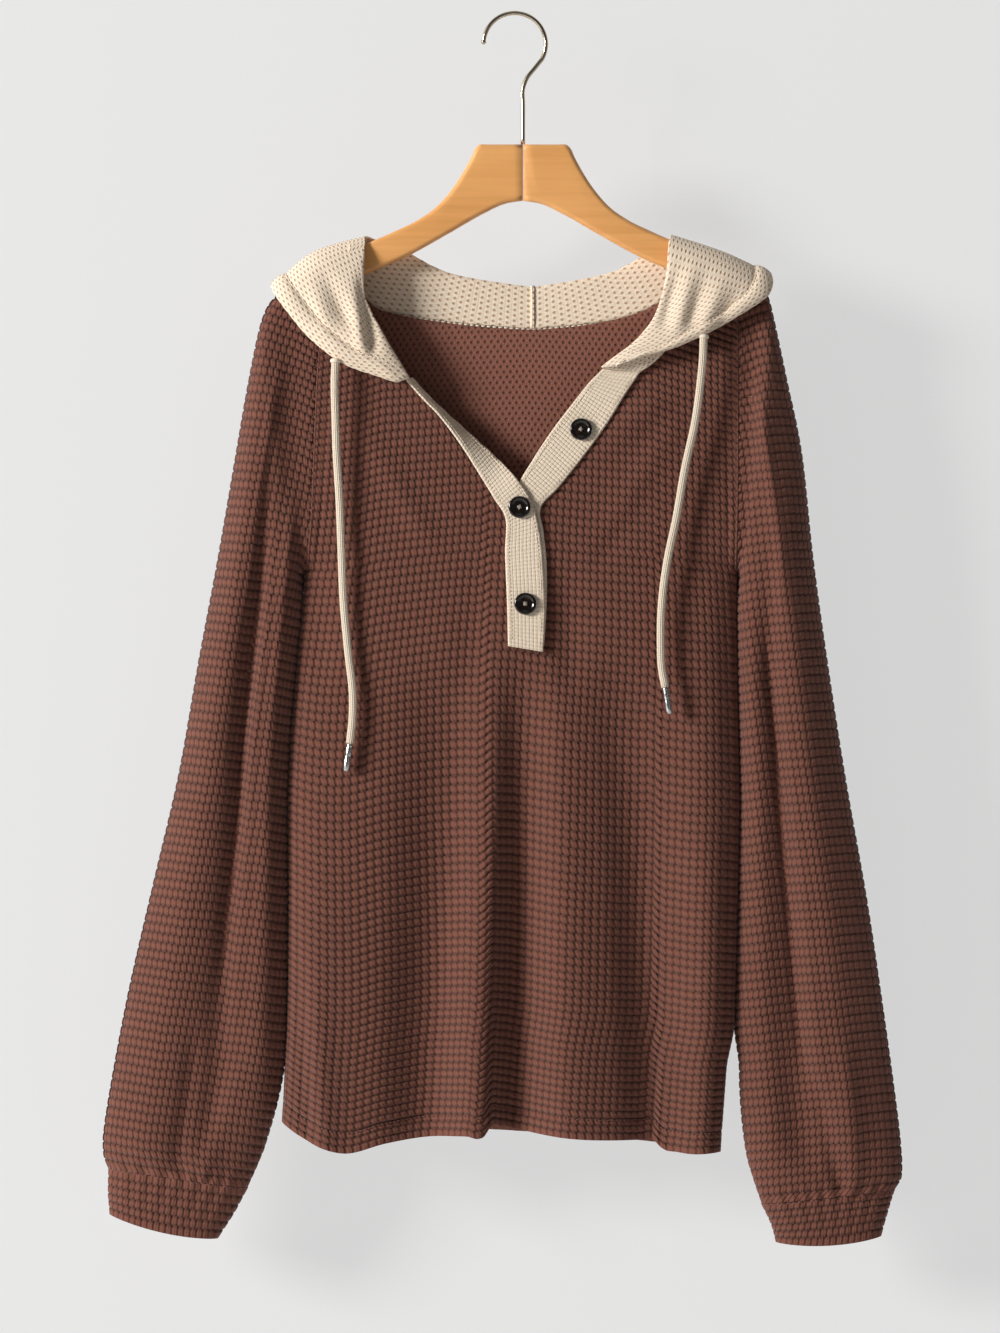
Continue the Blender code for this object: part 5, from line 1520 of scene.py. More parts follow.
    def stitch_lines(self) -> list[Line]:
        """Middle points and outward ways of the casing's stitches, on both faces."""
        points = self.grid()
        normal = grid_normals(points)
        across_run = lengths_along(points, 1)
        from_edge = across_run[:, -1:] - across_run
        last = points.shape[1] - 1
        line, ways = [], []
        for row, distance in enumerate(from_edge):
            place = np.interp(CASING_WIDTH, distance[::-1], np.arange(last + 1)[::-1])
            low = int(min(place, last - 1))
            share = place - low
            line.append(points[row, low] * (1 - share) + points[row, low + 1] * share)
            ways.append(normal[row, low])
        line, ways = np.array(line)[2:-2], np.array(ways)[2:-2]
        return [(line + way * CASING_STITCH_OUT, way) for way in (ways, -ways)]


# ---------------------------------------------------------------- placket and buttons
@dataclass
class PlacketBand:
    """One of the placket's two bands, lying on the front."""

    name: str
    table: Sequence[BandRow]

    def points(self, places: Array, across: Array) -> Array:
        """Points of a band: those of the front, moved out and turned back."""
        row = smooth_curve(np.arange(len(self.table)), self.table, places)[:, None, :]
        across = np.asarray(across, float)[None, :]
        x = row[..., 0] + (row[..., 2] - row[..., 0]) * across
        height = row[..., 1] + (row[..., 3] - row[..., 1]) * across
        depth = front_depth(x, height) + row[..., 4] - row[..., 5] * across ** BAND_TURN_POWER
        return np.stack((x, -depth, height), axis=-1)

    def point(self, place: float, across: float) -> Array:
        """One point of the band."""
        return self.points(np.array([place]), np.array([across]))[0, 0]

    def normals(self, points: Array) -> Array:
        """Outward normals of a grid of the band."""
        normal = grid_normals(points)
        return np.where(normal[..., 1:2] > 0.0, -normal, normal)

    def build(self, finishes: Sequence[Material]) -> Piece:
        """The band as a closed wall with its sewn edges."""
        points = self.points(np.linspace(-BAND_TUCK, len(self.table) - 1.0, 156), np.linspace(0.0, 1.0, 25))
        normal = self.normals(points)
        run, along = lengths_along(points, 1), lengths_along(points, 0)
        from_side = np.minimum(run, run[:, -1:] - run)
        from_foot = along[-1:] - along
        from_end = np.minimum(along, from_foot)
        groove = bell(from_side - BAND_STITCH, 0.9) * smooth_step((from_end - BAND_STITCH) / 2.0 + 0.5)
        groove = np.maximum(groove, bell(from_foot - BAND_STITCH, 0.9)
                            * smooth_step((from_side - BAND_STITCH) / 2.0 + 0.5))
        puff = 0.25 * np.sin(along / 2.6) * bell(from_side, 3.0)
        relief = np.clip(-0.5 * bell(from_side, 0.8) - 0.22 * groove + puff, -0.9, 0.4)
        middle = np.broadcast_to(along[:, 12:13], run.shape)
        cells = np.stack((run / BAND_PITCH, middle / BAND_PITCH), axis=-1)
        wall = Wall(self.name, points + normal * relief[..., None], points - normal * WALL, cells, 2, 2)
        return finished(wall.build(finishes), self.name)

    def stitch_lines(self) -> list[Line]:
        """Middle points and outward ways of the stitches along both sides."""
        places = np.linspace(0.15, len(self.table) - 1.0 - 0.12, 240)
        across = np.linspace(0.0, 1.0, 41)
        points = self.points(places, across)
        run = lengths_along(points, 1)
        normal = self.normals(points)
        lines = []
        for distance, order, number in ((run, 1, 3), (run[:, -1:] - run, -1, -4)):
            share = [np.interp(BAND_STITCH, row[::order], across[::order]) for row in distance]
            line = np.array([self.point(place, at) for place, at in zip(places, share)])
            lines.append((line + normal[:, number] * 0.05, normal[:, number]))
        return lines

    def seat(self, solid: Solid, along: float, across: float, near: float) -> Solid:
        """A turned piece, moved from the origin to its place on the band.

        Its axis takes the band's outward way there, and it stands clear of the cloth by the
        seam's gap.

        Args:
            solid: the piece, about +Z.
            along: place along the band's table.
            across: share across the band.
            near: how far round the place the cloth is looked at.

        Returns:
            The piece in its place.
        """
        here = self.point(along, across)
        ahead = self.point(along + BUTTON_PROBE, across) - here
        beside = self.point(along, across + BUTTON_PROBE) - here
        outward = np.cross(ahead, beside)
        outward /= np.linalg.norm(outward)
        outward = -outward if outward[1] > 0 else outward
        first = beside / np.linalg.norm(beside)
        second = np.cross(outward, first)
        grid = self.points(np.linspace(0.0, len(self.table) - 1.0, 2 * len(self.table) - 1),
                           np.linspace(0.0, 1.0, 5)).reshape(-1, 3) - here
        rise = grid @ outward
        close = np.linalg.norm(grid - np.outer(rise, outward), axis=1) < near
        close &= np.abs(rise) < near / 2
        lift = max(0.0, float(rise[close].max())) + SEAM_GAP
        points, faces = solid
        return points @ np.array((first, second, outward)) + here + outward * lift, faces


@dataclass
class SewnButton:
    """A dark button with a raised rim, held by a cross of pale thread."""

    place: ButtonPlace
    band: PlacketBand

    def seated(self, name: str, solid: Solid, finish: Material) -> Piece:
        """A piece of the button, in its place on the band."""
        solid = self.band.seat(solid, self.place.along, self.place.across, BUTTON_DIAMETER)
        return solid_object(name, solid, finish)

    def build(self, button_finish: Material, thread_finish: Material) -> None:
        """The button and its thread."""
        name, radius = self.place.name, BUTTON_DIAMETER / 2
        disc = turned([(away * radius, height) for away, height in BUTTON_OUTLINE], 56)
        finished(self.seated(name, disc, button_finish), name)
        threads = []
        for turn, rise in ((math.pi / 4, 0.0), (-math.pi / 4, THREADS_APART)):
            way = np.array((math.cos(turn), math.sin(turn), 0.0))
            for side in (-THREADS_APART, THREADS_APART):
                share = np.linspace(-1.0, 1.0, 9)[:, None]
                line = way * share * HOLE_AWAY + np.array((-way[1], way[0], 0.0)) * side
                line[:, 2] = 2.15 + 0.75 * (1.0 - share[:, 0] ** 4) + rise
                threads.append(tube(line, THREAD_RADIUS, 7))
        finished(self.seated(name + "_thread", join_parts(threads), thread_finish))


# ---------------------------------------------------------------- sewing
@dataclass(frozen=True)
class StitchKind:
    """Size of a stitch in millimetres: its length, the gap to the next and its radius."""

    length: float
    gap: float
    radius: float


HEM_KIND = StitchKind(2.6, 1.0, 0.42)
CASING_KIND = StitchKind(2.4, 0.9, 0.40)
NECK_KIND = StitchKind(3.4, 1.2, 0.80)
SEAM_KIND = StitchKind(4.6, 0.1, 0.85)
BAND_KIND = StitchKind(2.2, 0.9, 0.26)
# Rings of a stitch: share of its length, height above the line, share of the radius.
STITCH_RINGS = np.array((
    (0.0, -0.30, 0.5), (0.12, 0.05, 0.9), (0.5, 0.25, 1.0), (0.88, 0.05, 0.9), (1.0, -0.30, 0.5),
))


def stitches(name: str, line: Line, kind: StitchKind, finish: Material) -> Piece:
    """A row of stitches along a line on the cloth.

    Each is a short thread, thin at both ends, where it dives into the cloth.

    Args:
        name: the piece's name.
        line: points of the line, and the cloth's outward way at each.
        kind: the stitches' size.
        finish: the thread's material.

    Returns:
        The row as one object.
    """
    run = lengths_along(line[0], 0)
    shares, rises, widths = STITCH_RINGS.T
    parts = []
    for start in np.arange(0.0, run[-1] - kind.length, kind.length + kind.gap):
        at = start + kind.length * shares
        points, way = (np.stack([np.interp(at, run, values[:, axis]) for axis in range(3)], axis=1)
                       for values in line)
        parts.append(tube(points + way * rises[:, None], kind.radius * widths, 6))
    return finished(solid_object(name, join_parts(parts), finish))


# ---------------------------------------------------------------- drawstrings
def stood_along(solid: Solid, way: Array, foot: Array) -> Solid:
    """A turned solid with its axis along a way, moved to a point."""
    points, faces = solid
    first = np.cross(way, (0.0, 1.0, 0.0))
    first /= np.linalg.norm(first)
    return points @ np.array((first, np.cross(way, first), way)) + foot, faces


@dataclass
class Drawstring:
    """A drawstring that hangs from the casing, with its metal end."""

    side: str
    route: Sequence[Place]
    end: Place

    def build(self, cord_finish: Material, metal_finish: Material, thread_finish: Material) -> None:
        """The cord, its aglet and the sewn lip of the hole where it leaves the casing."""
        points = along_edge(self.route, np.linspace(0.0, 1.0, 120))
        name, aglet_name = "drawstring_" + self.side, "aglet_" + self.side
        cord = solid_object(name, tube(points, STRING_WIDTH / 2, 20, STRING_FLATNESS), cord_finish)
        self.map_braid(cord, points)
        finished(cord, name)
        down = (points[4] - points[0]) / np.linalg.norm(points[4] - points[0])
        lip = stood_along(turned(LIP_OUTLINE, 24), down, points[0])
        finished(solid_object("casing_hole_" + self.side, lip, thread_finish))
        end = np.array(self.end, float)
        way = (end - points[-1]) / np.linalg.norm(end - points[-1])
        top = points[-1] + way * SEAM_GAP
        size = float(np.linalg.norm(end - top))
        outline = [(away * AGLET_DIAMETER / 2, height * size) for away, height in AGLET_OUTLINE]
        aglet = solid_object(aglet_name, stood_along(turned(outline, 24), way, top), metal_finish)
        finished(aglet, aglet_name)

    @staticmethod
    def map_braid(cord: Piece, points: Array) -> None:
        """A UV map along the cord in millimetres, so that the braid runs with it."""
        run = lengths_along(points, 0)
        mesh = cord.data
        places = np.empty(len(mesh.vertices) * 3)
        mesh.vertices.foreach_get("co", places)
        places = places.reshape(-1, 3) / MM
        nearest = np.array([int(np.argmin(((points - place) ** 2).sum(axis=1))) for place in places])
        offset = places - points[nearest]
        turn = np.arctan2(offset[:, 1], offset[:, 0]) / (2.0 * np.pi)
        corners = np.empty(len(mesh.loops), dtype=np.int32)
        mesh.loops.foreach_get("vertex_index", corners)
        u = turn[corners]
        for polygon in mesh.polygons:
            part = slice(polygon.loop_start, polygon.loop_start + polygon.loop_total)
            if u[part].max() - u[part].min() > 0.5:
                u[part] = np.where(u[part] < 0.0, u[part] + 1.0, u[part])
        layer = mesh.uv_layers.new(name="cells")
        layer.data.foreach_set("uv", np.stack((u, run[nearest][corners]), axis=1).ravel())


# ---------------------------------------------------------------- hanger
@dataclass
class HangerHalf:
    """Half the wooden hanger: a flat outline, drawn out and rounded along its edges."""

    side: str

    def outline(self) -> Array:
        """The half's outline: distance from the joint and height, clockwise from the joint."""
        top = along_edge(HANGER_TOP_EDGE[1:], np.linspace(0.0, 1.0, 26))
        low = along_edge(HANGER_LOWER_EDGE, np.linspace(0.0, 1.0, 30))
        turns = np.radians(np.linspace(*ARM_END_TURNS, 16))
        end = np.stack((ARM_END.away + ARM_END_RADIUS * np.cos(turns),
                        ARM_END.height + ARM_END_RADIUS * np.sin(turns)), axis=1)
        corner = along_edge(HANGER_CORNER, np.linspace(0.0, 1.0, 9))
        start = np.array([(away, HANGER_TOP) for away in (SEAM_GAP / 2, 8.0, 18.0)])
        foot = np.array([(SEAM_GAP / 2, HANGER_FOOT)])
        return np.concatenate((start, corner[:-1], top, end, low[:-1], foot))

    def build(self, finish: Material) -> Piece:
        """The half as a closed solid."""
        outline, rings = self.outline(), []
        for turn in np.radians(np.linspace(90.0, -90.0, 15)):
            flat = math.copysign(HANGER_THICKNESS / 2 - HANGER_ROUNDING, turn)
            depth = flat + HANGER_ROUNDING * math.sin(turn)
            ring = shrink_outline(outline, HANGER_ROUNDING * (1.0 - math.cos(turn)))
            rings.append(np.stack((ring[:, 0], np.full(len(ring), -depth), ring[:, 1]), axis=1))
        points = np.array(rings)
        points[..., 0] = HANGER_CENTRE + SIGN[self.side] * points[..., 0]
        name = "hanger_" + self.side
        return finished(solid_object(name, closed_rings(points), finish), name)


def shrink_outline(outline: Array, inset: float) -> Array:
    """The outline moved inwards, its straight joint edge only a little."""
    before = unit(outline - np.roll(outline, 1, axis=0))
    after = unit(np.roll(outline, -1, axis=0) - outline)
    way = unit(before + after)
    inward = np.stack((way[:, 1], -way[:, 0]), axis=1)
    corner = np.sqrt((1.0 + (before * after).sum(axis=1)) / 2.0)
    moved = outline + inward * (inset / np.maximum(corner, SHARPEST_CORNER))[:, None]
    moved[[0, -1], 0] = outline[[0, -1], 0] + JOINT_ROUNDING * inset / HANGER_ROUNDING
    moved[0, 1] = outline[0, 1] - inset
    moved[-1, 1] = outline[-1, 1] + inset
    return moved


@dataclass
class Hook:
    """The metal hook: round wire with a small ball at its tip."""

    sides: int = 20

    def build(self, finish: Material) -> Piece:
        """The hook as one object."""
        x, height = HOOK_CENTRE
        bow = [(x + HOOK_RADIUS * math.cos(turn), height + HOOK_RADIUS * math.sin(turn))
               for turn in np.radians(np.linspace(*HOOK_TURNS, 60))]
        bend = along_edge(HOOK_BEND, np.linspace(0.0, 1.0, 36))
        stem = [(HANGER_CENTRE, at) for at in np.linspace(HOOK_BEND[-1][1] - 4.0, HANGER_TOP + SEAM_GAP, 8)]
        line = np.concatenate((bow, bend[1:], stem))
        line = np.stack((line[:, 0], np.zeros(len(line)), line[:, 1]), axis=1)
        ball, ball_faces = turned([(HOOK_TIP_RADIUS * math.cos(turn), HOOK_TIP_RADIUS * math.sin(turn))
                                   for turn in np.radians(np.linspace(88.0, -88.0, 14))], self.sides)
        points, faces = join_parts([tube(line, WIRE_DIAMETER / 2, self.sides), (ball + line[0], ball_faces)])
        mesh = bpy.data.meshes.new("hook")
        mesh.from_pydata((points * MM).tolist(), [], faces)
        mesh.shade_smooth()
        return finished(link("hook", mesh, [finish]), "hook")


# ---------------------------------------------------------------- finishes
def dimmed(colour: Colour, share: float) -> Colour:
    """A colour at a share of its brightness."""
    return tuple(value * share for value in colour)


class Graph:
    """A material and short calls that add and wire its nodes."""

    def __init__(self, name: str) -> None:
        """A new material with its Principled shader."""
        self.material = bpy.data.materials.new(name)
        self.material.use_nodes = True
        self.nodes = self.material.node_tree.nodes
        self.links = self.material.node_tree.links
        self.shader = self.nodes["Principled BSDF"]

    def set(self, socket: Socket, value: object) -> None:
        """Wire a socket to another socket, or set its constant, a colour without its alpha."""
        if isinstance(value, Socket):
            self.links.new(value, socket)
        else:
            socket.default_value = (*value, 1.0) if socket.type == "RGBA" else value

    def shade(self, values: dict[str, object]) -> Material:
        """Set or wire inputs of the shader by their names, and give back the material."""
        for name, value in values.items():
            self.set(self.shader.inputs[name], value)
        return self.material

    def math(self, operation: str, first: object, second: object = 0.0, third: object = 0.0) -> Socket:
        """The result of a Math node."""
        node = self.nodes.new("ShaderNodeMath")
        node.operation = operation
        for socket, value in zip(node.inputs, (first, second, third)):
            self.set(socket, value)
        return node.outputs[0]

    def added(self, height: object, *parts: tuple[object, float]) -> Socket:
        """A number with others added, each multiplied by its factor."""
        for value, factor in parts:
            height = self.math("MULTIPLY_ADD", value, factor, height)
        return height

    def ramp(self, value: object, low: float, high: float, start: float = 0.0, end: float = 1.0) -> Socket:
        """Ease from start to end while the value goes from low to high."""
        node = self.nodes.new("ShaderNodeMapRange")
        node.interpolation_type = "SMOOTHSTEP"
        for socket, number in zip(node.inputs, (value, low, high, start, end)):
            self.set(socket, number)
        return node.outputs[0]

    def mix(self, share: object, first: object, second: object) -> Socket:
        """A colour between two colours."""
        node = self.nodes.new("ShaderNodeMix")
        node.data_type = "RGBA"
        for number, value in ((0, share), (6, first), (7, second)):
            self.set(node.inputs[number], value)
        return node.outputs[2]

    def noise(self, scale: float, detail: float = 2.0, stretch: Triple = (1.0, 1.0, 1.0),
              turn: float = 0.0) -> Socket:
        """Noise over the object's own coordinates, in metres, stretched and turned about Y."""
        mapping = self.nodes.new("ShaderNodeMapping")
        mapping.inputs["Scale"].default_value = stretch
        mapping.inputs["Rotation"].default_value = (0.0, turn, 0.0)
        self.links.new(self.nodes.new("ShaderNodeTexCoord").outputs["Object"], mapping.inputs["Vector"])
        node = self.nodes.new("ShaderNodeTexNoise")
        node.inputs["Scale"].default_value = scale
        node.inputs["Detail"].default_value = detail
        self.links.new(mapping.outputs["Vector"], node.inputs["Vector"])
        return node.outputs[0]

    def split(self, vector: Socket) -> Sequence[Socket]:
        """The three numbers of a vector."""
        node = self.nodes.new("ShaderNodeSeparateXYZ")
        self.links.new(vector, node.inputs[0])
        return node.outputs

    def cells(self) -> tuple[Socket, Socket]:
        """Both numbers of the UV map "cells"."""
        uv = self.nodes.new("ShaderNodeUVMap")
        uv.uv_map = "cells"
        split = self.split(uv.outputs["UV"])
        return split["X"], split["Y"]

    def bump(self, height: Socket, distance: float, strength: float) -> Socket:
        """A bump of the given distance in metres."""
        node = self.nodes.new("ShaderNodeBump")
        node.inputs["Distance"].default_value = distance
        node.inputs["Strength"].default_value = strength
        self.links.new(height, node.inputs["Height"])
        return node.outputs["Normal"]


class Pattern(Enum):
    """What a knit's face shows."""

    BLOCKS = "raised blocks between grooves"
    PITS = "holes in staggered rows"


@dataclass(frozen=True)
class KnitFinish:
    """A knit's face: its colours and how deep its pattern lies.

    Attributes:
        name: the material's name.
        pattern: blocks on the face, pits on the back and in open knit.
        high: colour of what stands out.
        low: colour in the grooves and holes: partly the yarn's own darker look, partly painted shade.
        row_shade: share of the low colour, and so of the painted shade, between two rows.
        column_shade: the same between two columns.
        hole_shade: the same in the holes, or where two grooves cross.
        depth: distance of the bump in metres.
        softness: how wide grooves and holes are, in cells.
        rows_each: rows of the pattern in a row of cells.
        lean: how far a block's sides lean within its row, in cells.
    """

    name: str
    pattern: Pattern
    high: Colour
    low: Colour
    row_shade: float
    column_shade: float
    hole_shade: float
    depth: float
    softness: float = 0.34
    rows_each: float = 1.0
    lean: float = 0.32

    def build(self) -> Material:
        """The material."""
        graph = Graph(self.name)
        column, row = graph.cells()
        if self.rows_each != 1.0:
            row = graph.math("MULTIPLY", row, self.rows_each)
        pits = self.pattern is Pattern.PITS
        if pits:
            odd = graph.math("FLOORED_MODULO", graph.math("FLOOR", row), 2.0)
            column = graph.added(column, (odd, 0.5))
        else:
            column = graph.added(column, (graph.math("SUBTRACT", graph.math("FRACT", row), 0.5), self.lean))
        beside, under = graph.math("PINGPONG", column, 0.5), graph.math("PINGPONG", row, 0.5)
        row_groove = graph.ramp(under, 0.0, self.softness, 1.0, 0.0)
        column_groove = graph.ramp(beside, 0.0, self.softness, 1.0, 0.0)
        if pits:
            away = graph.math("SUBTRACT", 0.5, under)
            square = graph.math("MULTIPLY_ADD", away, away, graph.math("MULTIPLY", beside, beside))
            hole = graph.ramp(graph.math("SQRT", square), 0.10, self.softness, 1.0, 0.0)
            height = graph.added(graph.math("MULTIPLY", hole, -1.0), (row_groove, -0.25))
        else:
            hole = graph.math("MULTIPLY", row_groove, column_groove)
            height = graph.math("MULTIPLY", row_groove, -0.85)
            height = graph.added(height, (column_groove, -0.55), (hole, -0.45))
        wave = graph.math("COSINE", graph.math("MULTIPLY", column, 4.0 * math.pi))
        rib = graph.added(0.5, (wave, -0.5))
        fibre, patch = graph.noise(900.0, 3.0), graph.noise(14.0, 2.0)
        # Painted shade, partly the yarn's own darker look: the low colour fills the grooves, the holes and
        # the lines between the ribs; the noise is the yarn's uneven tone.
        shade = graph.added(graph.math("MULTIPLY", row_groove, self.row_shade),
                            (column_groove, self.column_shade), (hole, self.hole_shade),
                            (graph.math("SUBTRACT", 1.0, rib), 0.05))
        for noise, size in ((fibre, 0.50), (patch, 0.20)):
            shade = graph.math("ADD", shade, graph.added(-size / 2, (noise, size)))
        clamp = graph.nodes.new("ShaderNodeClamp")
        graph.links.new(shade, clamp.inputs[0])
        height = graph.added(height, (rib, 0.10), (fibre, 0.35))
        return graph.shade({
            "Base Color": graph.mix(clamp.outputs[0], self.high, self.low),
            "Roughness": 0.92, "Specular IOR Level": 0.25, "Sheen Weight": 0.12, "Sheen Roughness": 0.5,
            "Normal": graph.bump(height, self.depth, 0.75),
        })


@dataclass(frozen=True)
class CordFinish:
    """A round braid: two sets of strands that cross, on the UV map's turn and length."""

    name: str
    light: Colour
    dark: Colour
    strand: float

    def build(self) -> Material:
        """The material."""
        graph = Graph(self.name)
        turn, length = graph.cells()
        run = graph.math("MULTIPLY", length, 1.0 / self.strand)
        sets = []
        for strands in (5.0, -5.0):
            turns = graph.added(run, (turn, strands))
            sets.append(graph.math("SINE", graph.math("MULTIPLY", turns, 2.0 * math.pi)))
        weave = graph.math("MULTIPLY", *sets)
        fibre = graph.noise(1500.0, 2.0)
        share = graph.ramp(graph.added(weave, (fibre, 0.5)), -0.7, 0.8)
        return graph.shade({
            "Base Color": graph.mix(share, self.dark, self.light), "Roughness": 0.85, "Sheen Weight": 0.2,
            "Normal": graph.bump(graph.added(weave, (fibre, 0.4)), 0.0005, 0.7),
        })


@dataclass(frozen=True)
class WoodFinish:
    """Honey-coloured lacquered wood with its grain along the hanger's arm."""

    name: str
    slope: float
    light: Colour = (0.92, 0.46, 0.16)
    dark: Colour = (0.74, 0.325, 0.09)

    def build(self) -> Material:
        """The material."""
        graph = Graph(self.name)
        grain = graph.noise(1.0, 5.0, (9.0, 120.0, 260.0), self.slope)
        band = graph.noise(1.0, 2.0, (3.0, 20.0, 46.0), self.slope)
        pores = graph.noise(1.0, 2.0, (60.0, 900.0, 1400.0), self.slope)
        share = graph.ramp(graph.added(graph.math("MULTIPLY", band, 0.55), (grain, 0.55)), 0.34, 0.86)
        fleck = graph.ramp(pores, 0.62, 0.74, 0.0, 0.18)
        colour = graph.mix(share, self.light, self.dark)
        return graph.shade({
            "Base Color": graph.mix(fleck, colour, dimmed(self.dark, 0.55)),
            "Roughness": graph.ramp(grain, 0.3, 0.7, 0.34, 0.46),
            "Coat Weight": 0.25, "Coat Roughness": 0.22, "Normal": graph.bump(pores, 0.0002, 0.25),
        })


@dataclass(frozen=True)
class MetalFinish:
    """Polished metal with faint wear."""

    name: str
    colour: Colour
    roughness: float = 0.20

    def build(self) -> Material:
        """The material."""
        graph = Graph(self.name)
        wear = graph.noise(90.0, 3.0)
        return graph.shade({
            "Base Color": graph.mix(graph.ramp(wear, 0.45, 0.75), self.colour, dimmed(self.colour, 0.85)),
            "Metallic": 1.0, "Roughness": graph.ramp(wear, 0.3, 0.8, self.roughness, self.roughness + 0.08),
            "Normal": graph.bump(graph.noise(1600.0), 0.00003, 0.1),
        })


@dataclass(frozen=True)
class ButtonFinish:
    """Dark glossy plastic with faint marbling."""

    name: str
    colour: Colour
    vein: Colour

    def build(self) -> Material:
        """The material."""
        graph = Graph(self.name)
        marble = graph.noise(260.0, 4.0, (1.0, 1.0, 2.2), 0.6)
        scratch = graph.noise(1800.0, 2.0)
        return graph.shade({
            "Base Color": graph.mix(graph.ramp(marble, 0.5, 0.75, 0.0, 0.8), self.colour, self.vein),
            "Roughness": graph.ramp(scratch, 0.3, 0.8, 0.12, 0.22),
            "Coat Weight": 0.3, "Normal": graph.bump(scratch, 0.0001, 0.1),
        })


@dataclass(frozen=True)
class StageFinish:
    """Matt paint of the floor and the backdrop, which glows a little; clear when seen from behind."""

    name: str
    colour: Colour
    glow: float

    def build(self) -> Material:
        """The material."""
        graph = Graph(self.name)
        place = graph.split(graph.nodes.new("ShaderNodeTexCoord").outputs["Object"])
        wall = graph.ramp(place["Y"], -0.12, 0.06)
        graph.shade({
            "Roughness": 0.95, "Specular IOR Level": 0.1, "Emission Color": self.colour,
            "Emission Strength": graph.math("MULTIPLY", wall, self.glow),
            "Base Color": graph.mix(wall, self.colour, dimmed(self.colour, 0.25)),
        })
        clear = graph.nodes.new("ShaderNodeBsdfTransparent")
        side = graph.nodes.new("ShaderNodeNewGeometry")
        mix = graph.nodes.new("ShaderNodeMixShader")
        sources = (side.outputs["Backfacing"], graph.shader.outputs[0], clear.outputs[0])
        for socket, value in zip(mix.inputs, sources):
            graph.links.new(value, socket)
        graph.links.new(mix.outputs[0], graph.nodes["Material Output"].inputs["Surface"])
        return graph.material


# ---------------------------------------------------------------- studio
class AreaLight(NamedTuple):
    """A square soft light, in metres and watts."""

    name: str
    place: Triple
    target: Triple
    size: float
    power: float
    colour: Colour


LIGHTS = table(
    AreaLight,
    ("key", (-4.8, -2.9, 0.9), (0.0, 0.0, -0.5), 1.5, 385.0, (1.0, 0.985, 0.96)),
    ("fill", (1.8, -2.6, -0.3), (0.0, 0.0, -0.55), 1.8, 1.5, (0.95, 0.97, 1.0)),
    ("top", (0.1, -0.8, 1.4), (0.0, 0.0, -0.4), 1.2, 1.5, (1.0, 1.0, 1.0)),
    ("behind", (0.4, 2.1, 0.4), (0.0, 0.0, -0.5), 1.6, 12.0, (1.0, 1.0, 1.0)),
)
ROOM_COLOUR = (0.92, 0.94, 0.97, 1.0)
ROOM_LIGHT = 0.05
# The stage in metres.
WALL_AT = 0.085             # the backdrop is just behind the hood
WALL_TOP = 1.6
BEND_FROM = -0.95           # there it starts to bend
BEND_RADIUS = 0.35
FLOOR_AT = -1.30
STAGE_REACH = 3.2           # to either side and to the front


@dataclass
class Studio:
    """Camera, lights, backdrop and floor.

    The photograph is 1000 by 1333 pixels at 0.8 mm a pixel, seen straight on.
    """

    middle: tuple[float, float] = (-12.8, -522.6)
    width: float = 800.0
    lens: float = 180.0
    sensor: float = 36.0
    front_plane: float = -12.0

    def build_rest(self) -> None:
        """Lights and stage, once the pieces are made."""
        for light in LIGHTS:
            self.add_area(light)
        world = bpy.data.worlds.new("room")
        world.use_nodes = True
        world.node_tree.nodes["Background"].inputs["Color"].default_value = ROOM_COLOUR
        world.node_tree.nodes["Background"].inputs["Strength"].default_value = ROOM_LIGHT
        bpy.context.scene.view_settings.view_transform = "Standard"
        bpy.context.scene.world = world
        self.add_stage()

    def add_camera(self) -> None:
        """The camera at the photograph's angle, with its frame 0.8 m wide at the garment."""
        data = bpy.data.cameras.new("camera")
        data.sensor_fit = "HORIZONTAL"
        data.sensor_width = self.sensor
        data.lens = self.lens
        camera = bpy.data.objects.new("camera", data)
        distance = self.width * self.lens / self.sensor
        camera.location = (self.middle[0] * MM, (self.front_plane - distance) * MM, self.middle[1] * MM)
        camera.rotation_euler = (math.pi / 2, 0.0, 0.0)
        bpy.context.scene.collection.objects.link(camera)
        bpy.context.scene.camera = camera

    def add_area(self, area: AreaLight) -> None:
        """A light that looks at its target."""
        data = bpy.data.lights.new(area.name, "AREA")
        data.size = area.size
        data.energy = area.power
        data.color = area.colour
        light = bpy.data.objects.new(area.name, data)
        light.location = area.place
        way = Vector(area.target) - Vector(area.place)
        light.rotation_euler = way.to_track_quat("-Z", "Y").to_euler()
        bpy.context.scene.collection.objects.link(light)

    def add_stage(self) -> None:
        """A pale backdrop that bends into a pale floor well below the garment."""
        turns = np.radians(np.linspace(15, 90, 6))
        down, out = BEND_FROM - BEND_RADIUS * np.sin(turns), WALL_AT - BEND_RADIUS * (1.0 - np.cos(turns))
        heights = np.concatenate((np.linspace(WALL_TOP, BEND_FROM, 8), down, [FLOOR_AT]))
        depths = np.concatenate((np.full(8, WALL_AT), out, [-STAGE_REACH]))
        points = [(x, y, z) for y, z in zip(depths, heights) for x in (-STAGE_REACH, STAGE_REACH)]
        faces = [(2 * i, 2 * i + 2, 2 * i + 3, 2 * i + 1) for i in range(len(heights) - 1)]
        mesh = bpy.data.meshes.new("stage")
        mesh.from_pydata(points, [], faces)
        mesh.materials.append(StageFinish("stage_paint", (0.80, 0.80, 0.80), 0.76).build())
        mesh.shade_smooth()
        stage = bpy.data.objects.new("stage", mesh)
        bpy.context.scene.collection.objects.link(stage)


# ---------------------------------------------------------------- the whole
BROWN_BLOCK = (0.200, 0.075, 0.051)
# Groove colours: darker in the grooves and holes, partly the yarn's own look there and partly painted shade.
BROWN_SHADED_GROOVE = (0.052, 0.018, 0.012)
BROWN_BACK = (0.285, 0.114, 0.079)
CREAM_BLOCK = (0.95, 0.81, 0.65)
BAND_BLOCK = (0.86, 0.73, 0.58)
# Painted shade in part, as the brown groove colour.
CREAM_SHADED_GROOVE = (0.50, 0.31, 0.175)


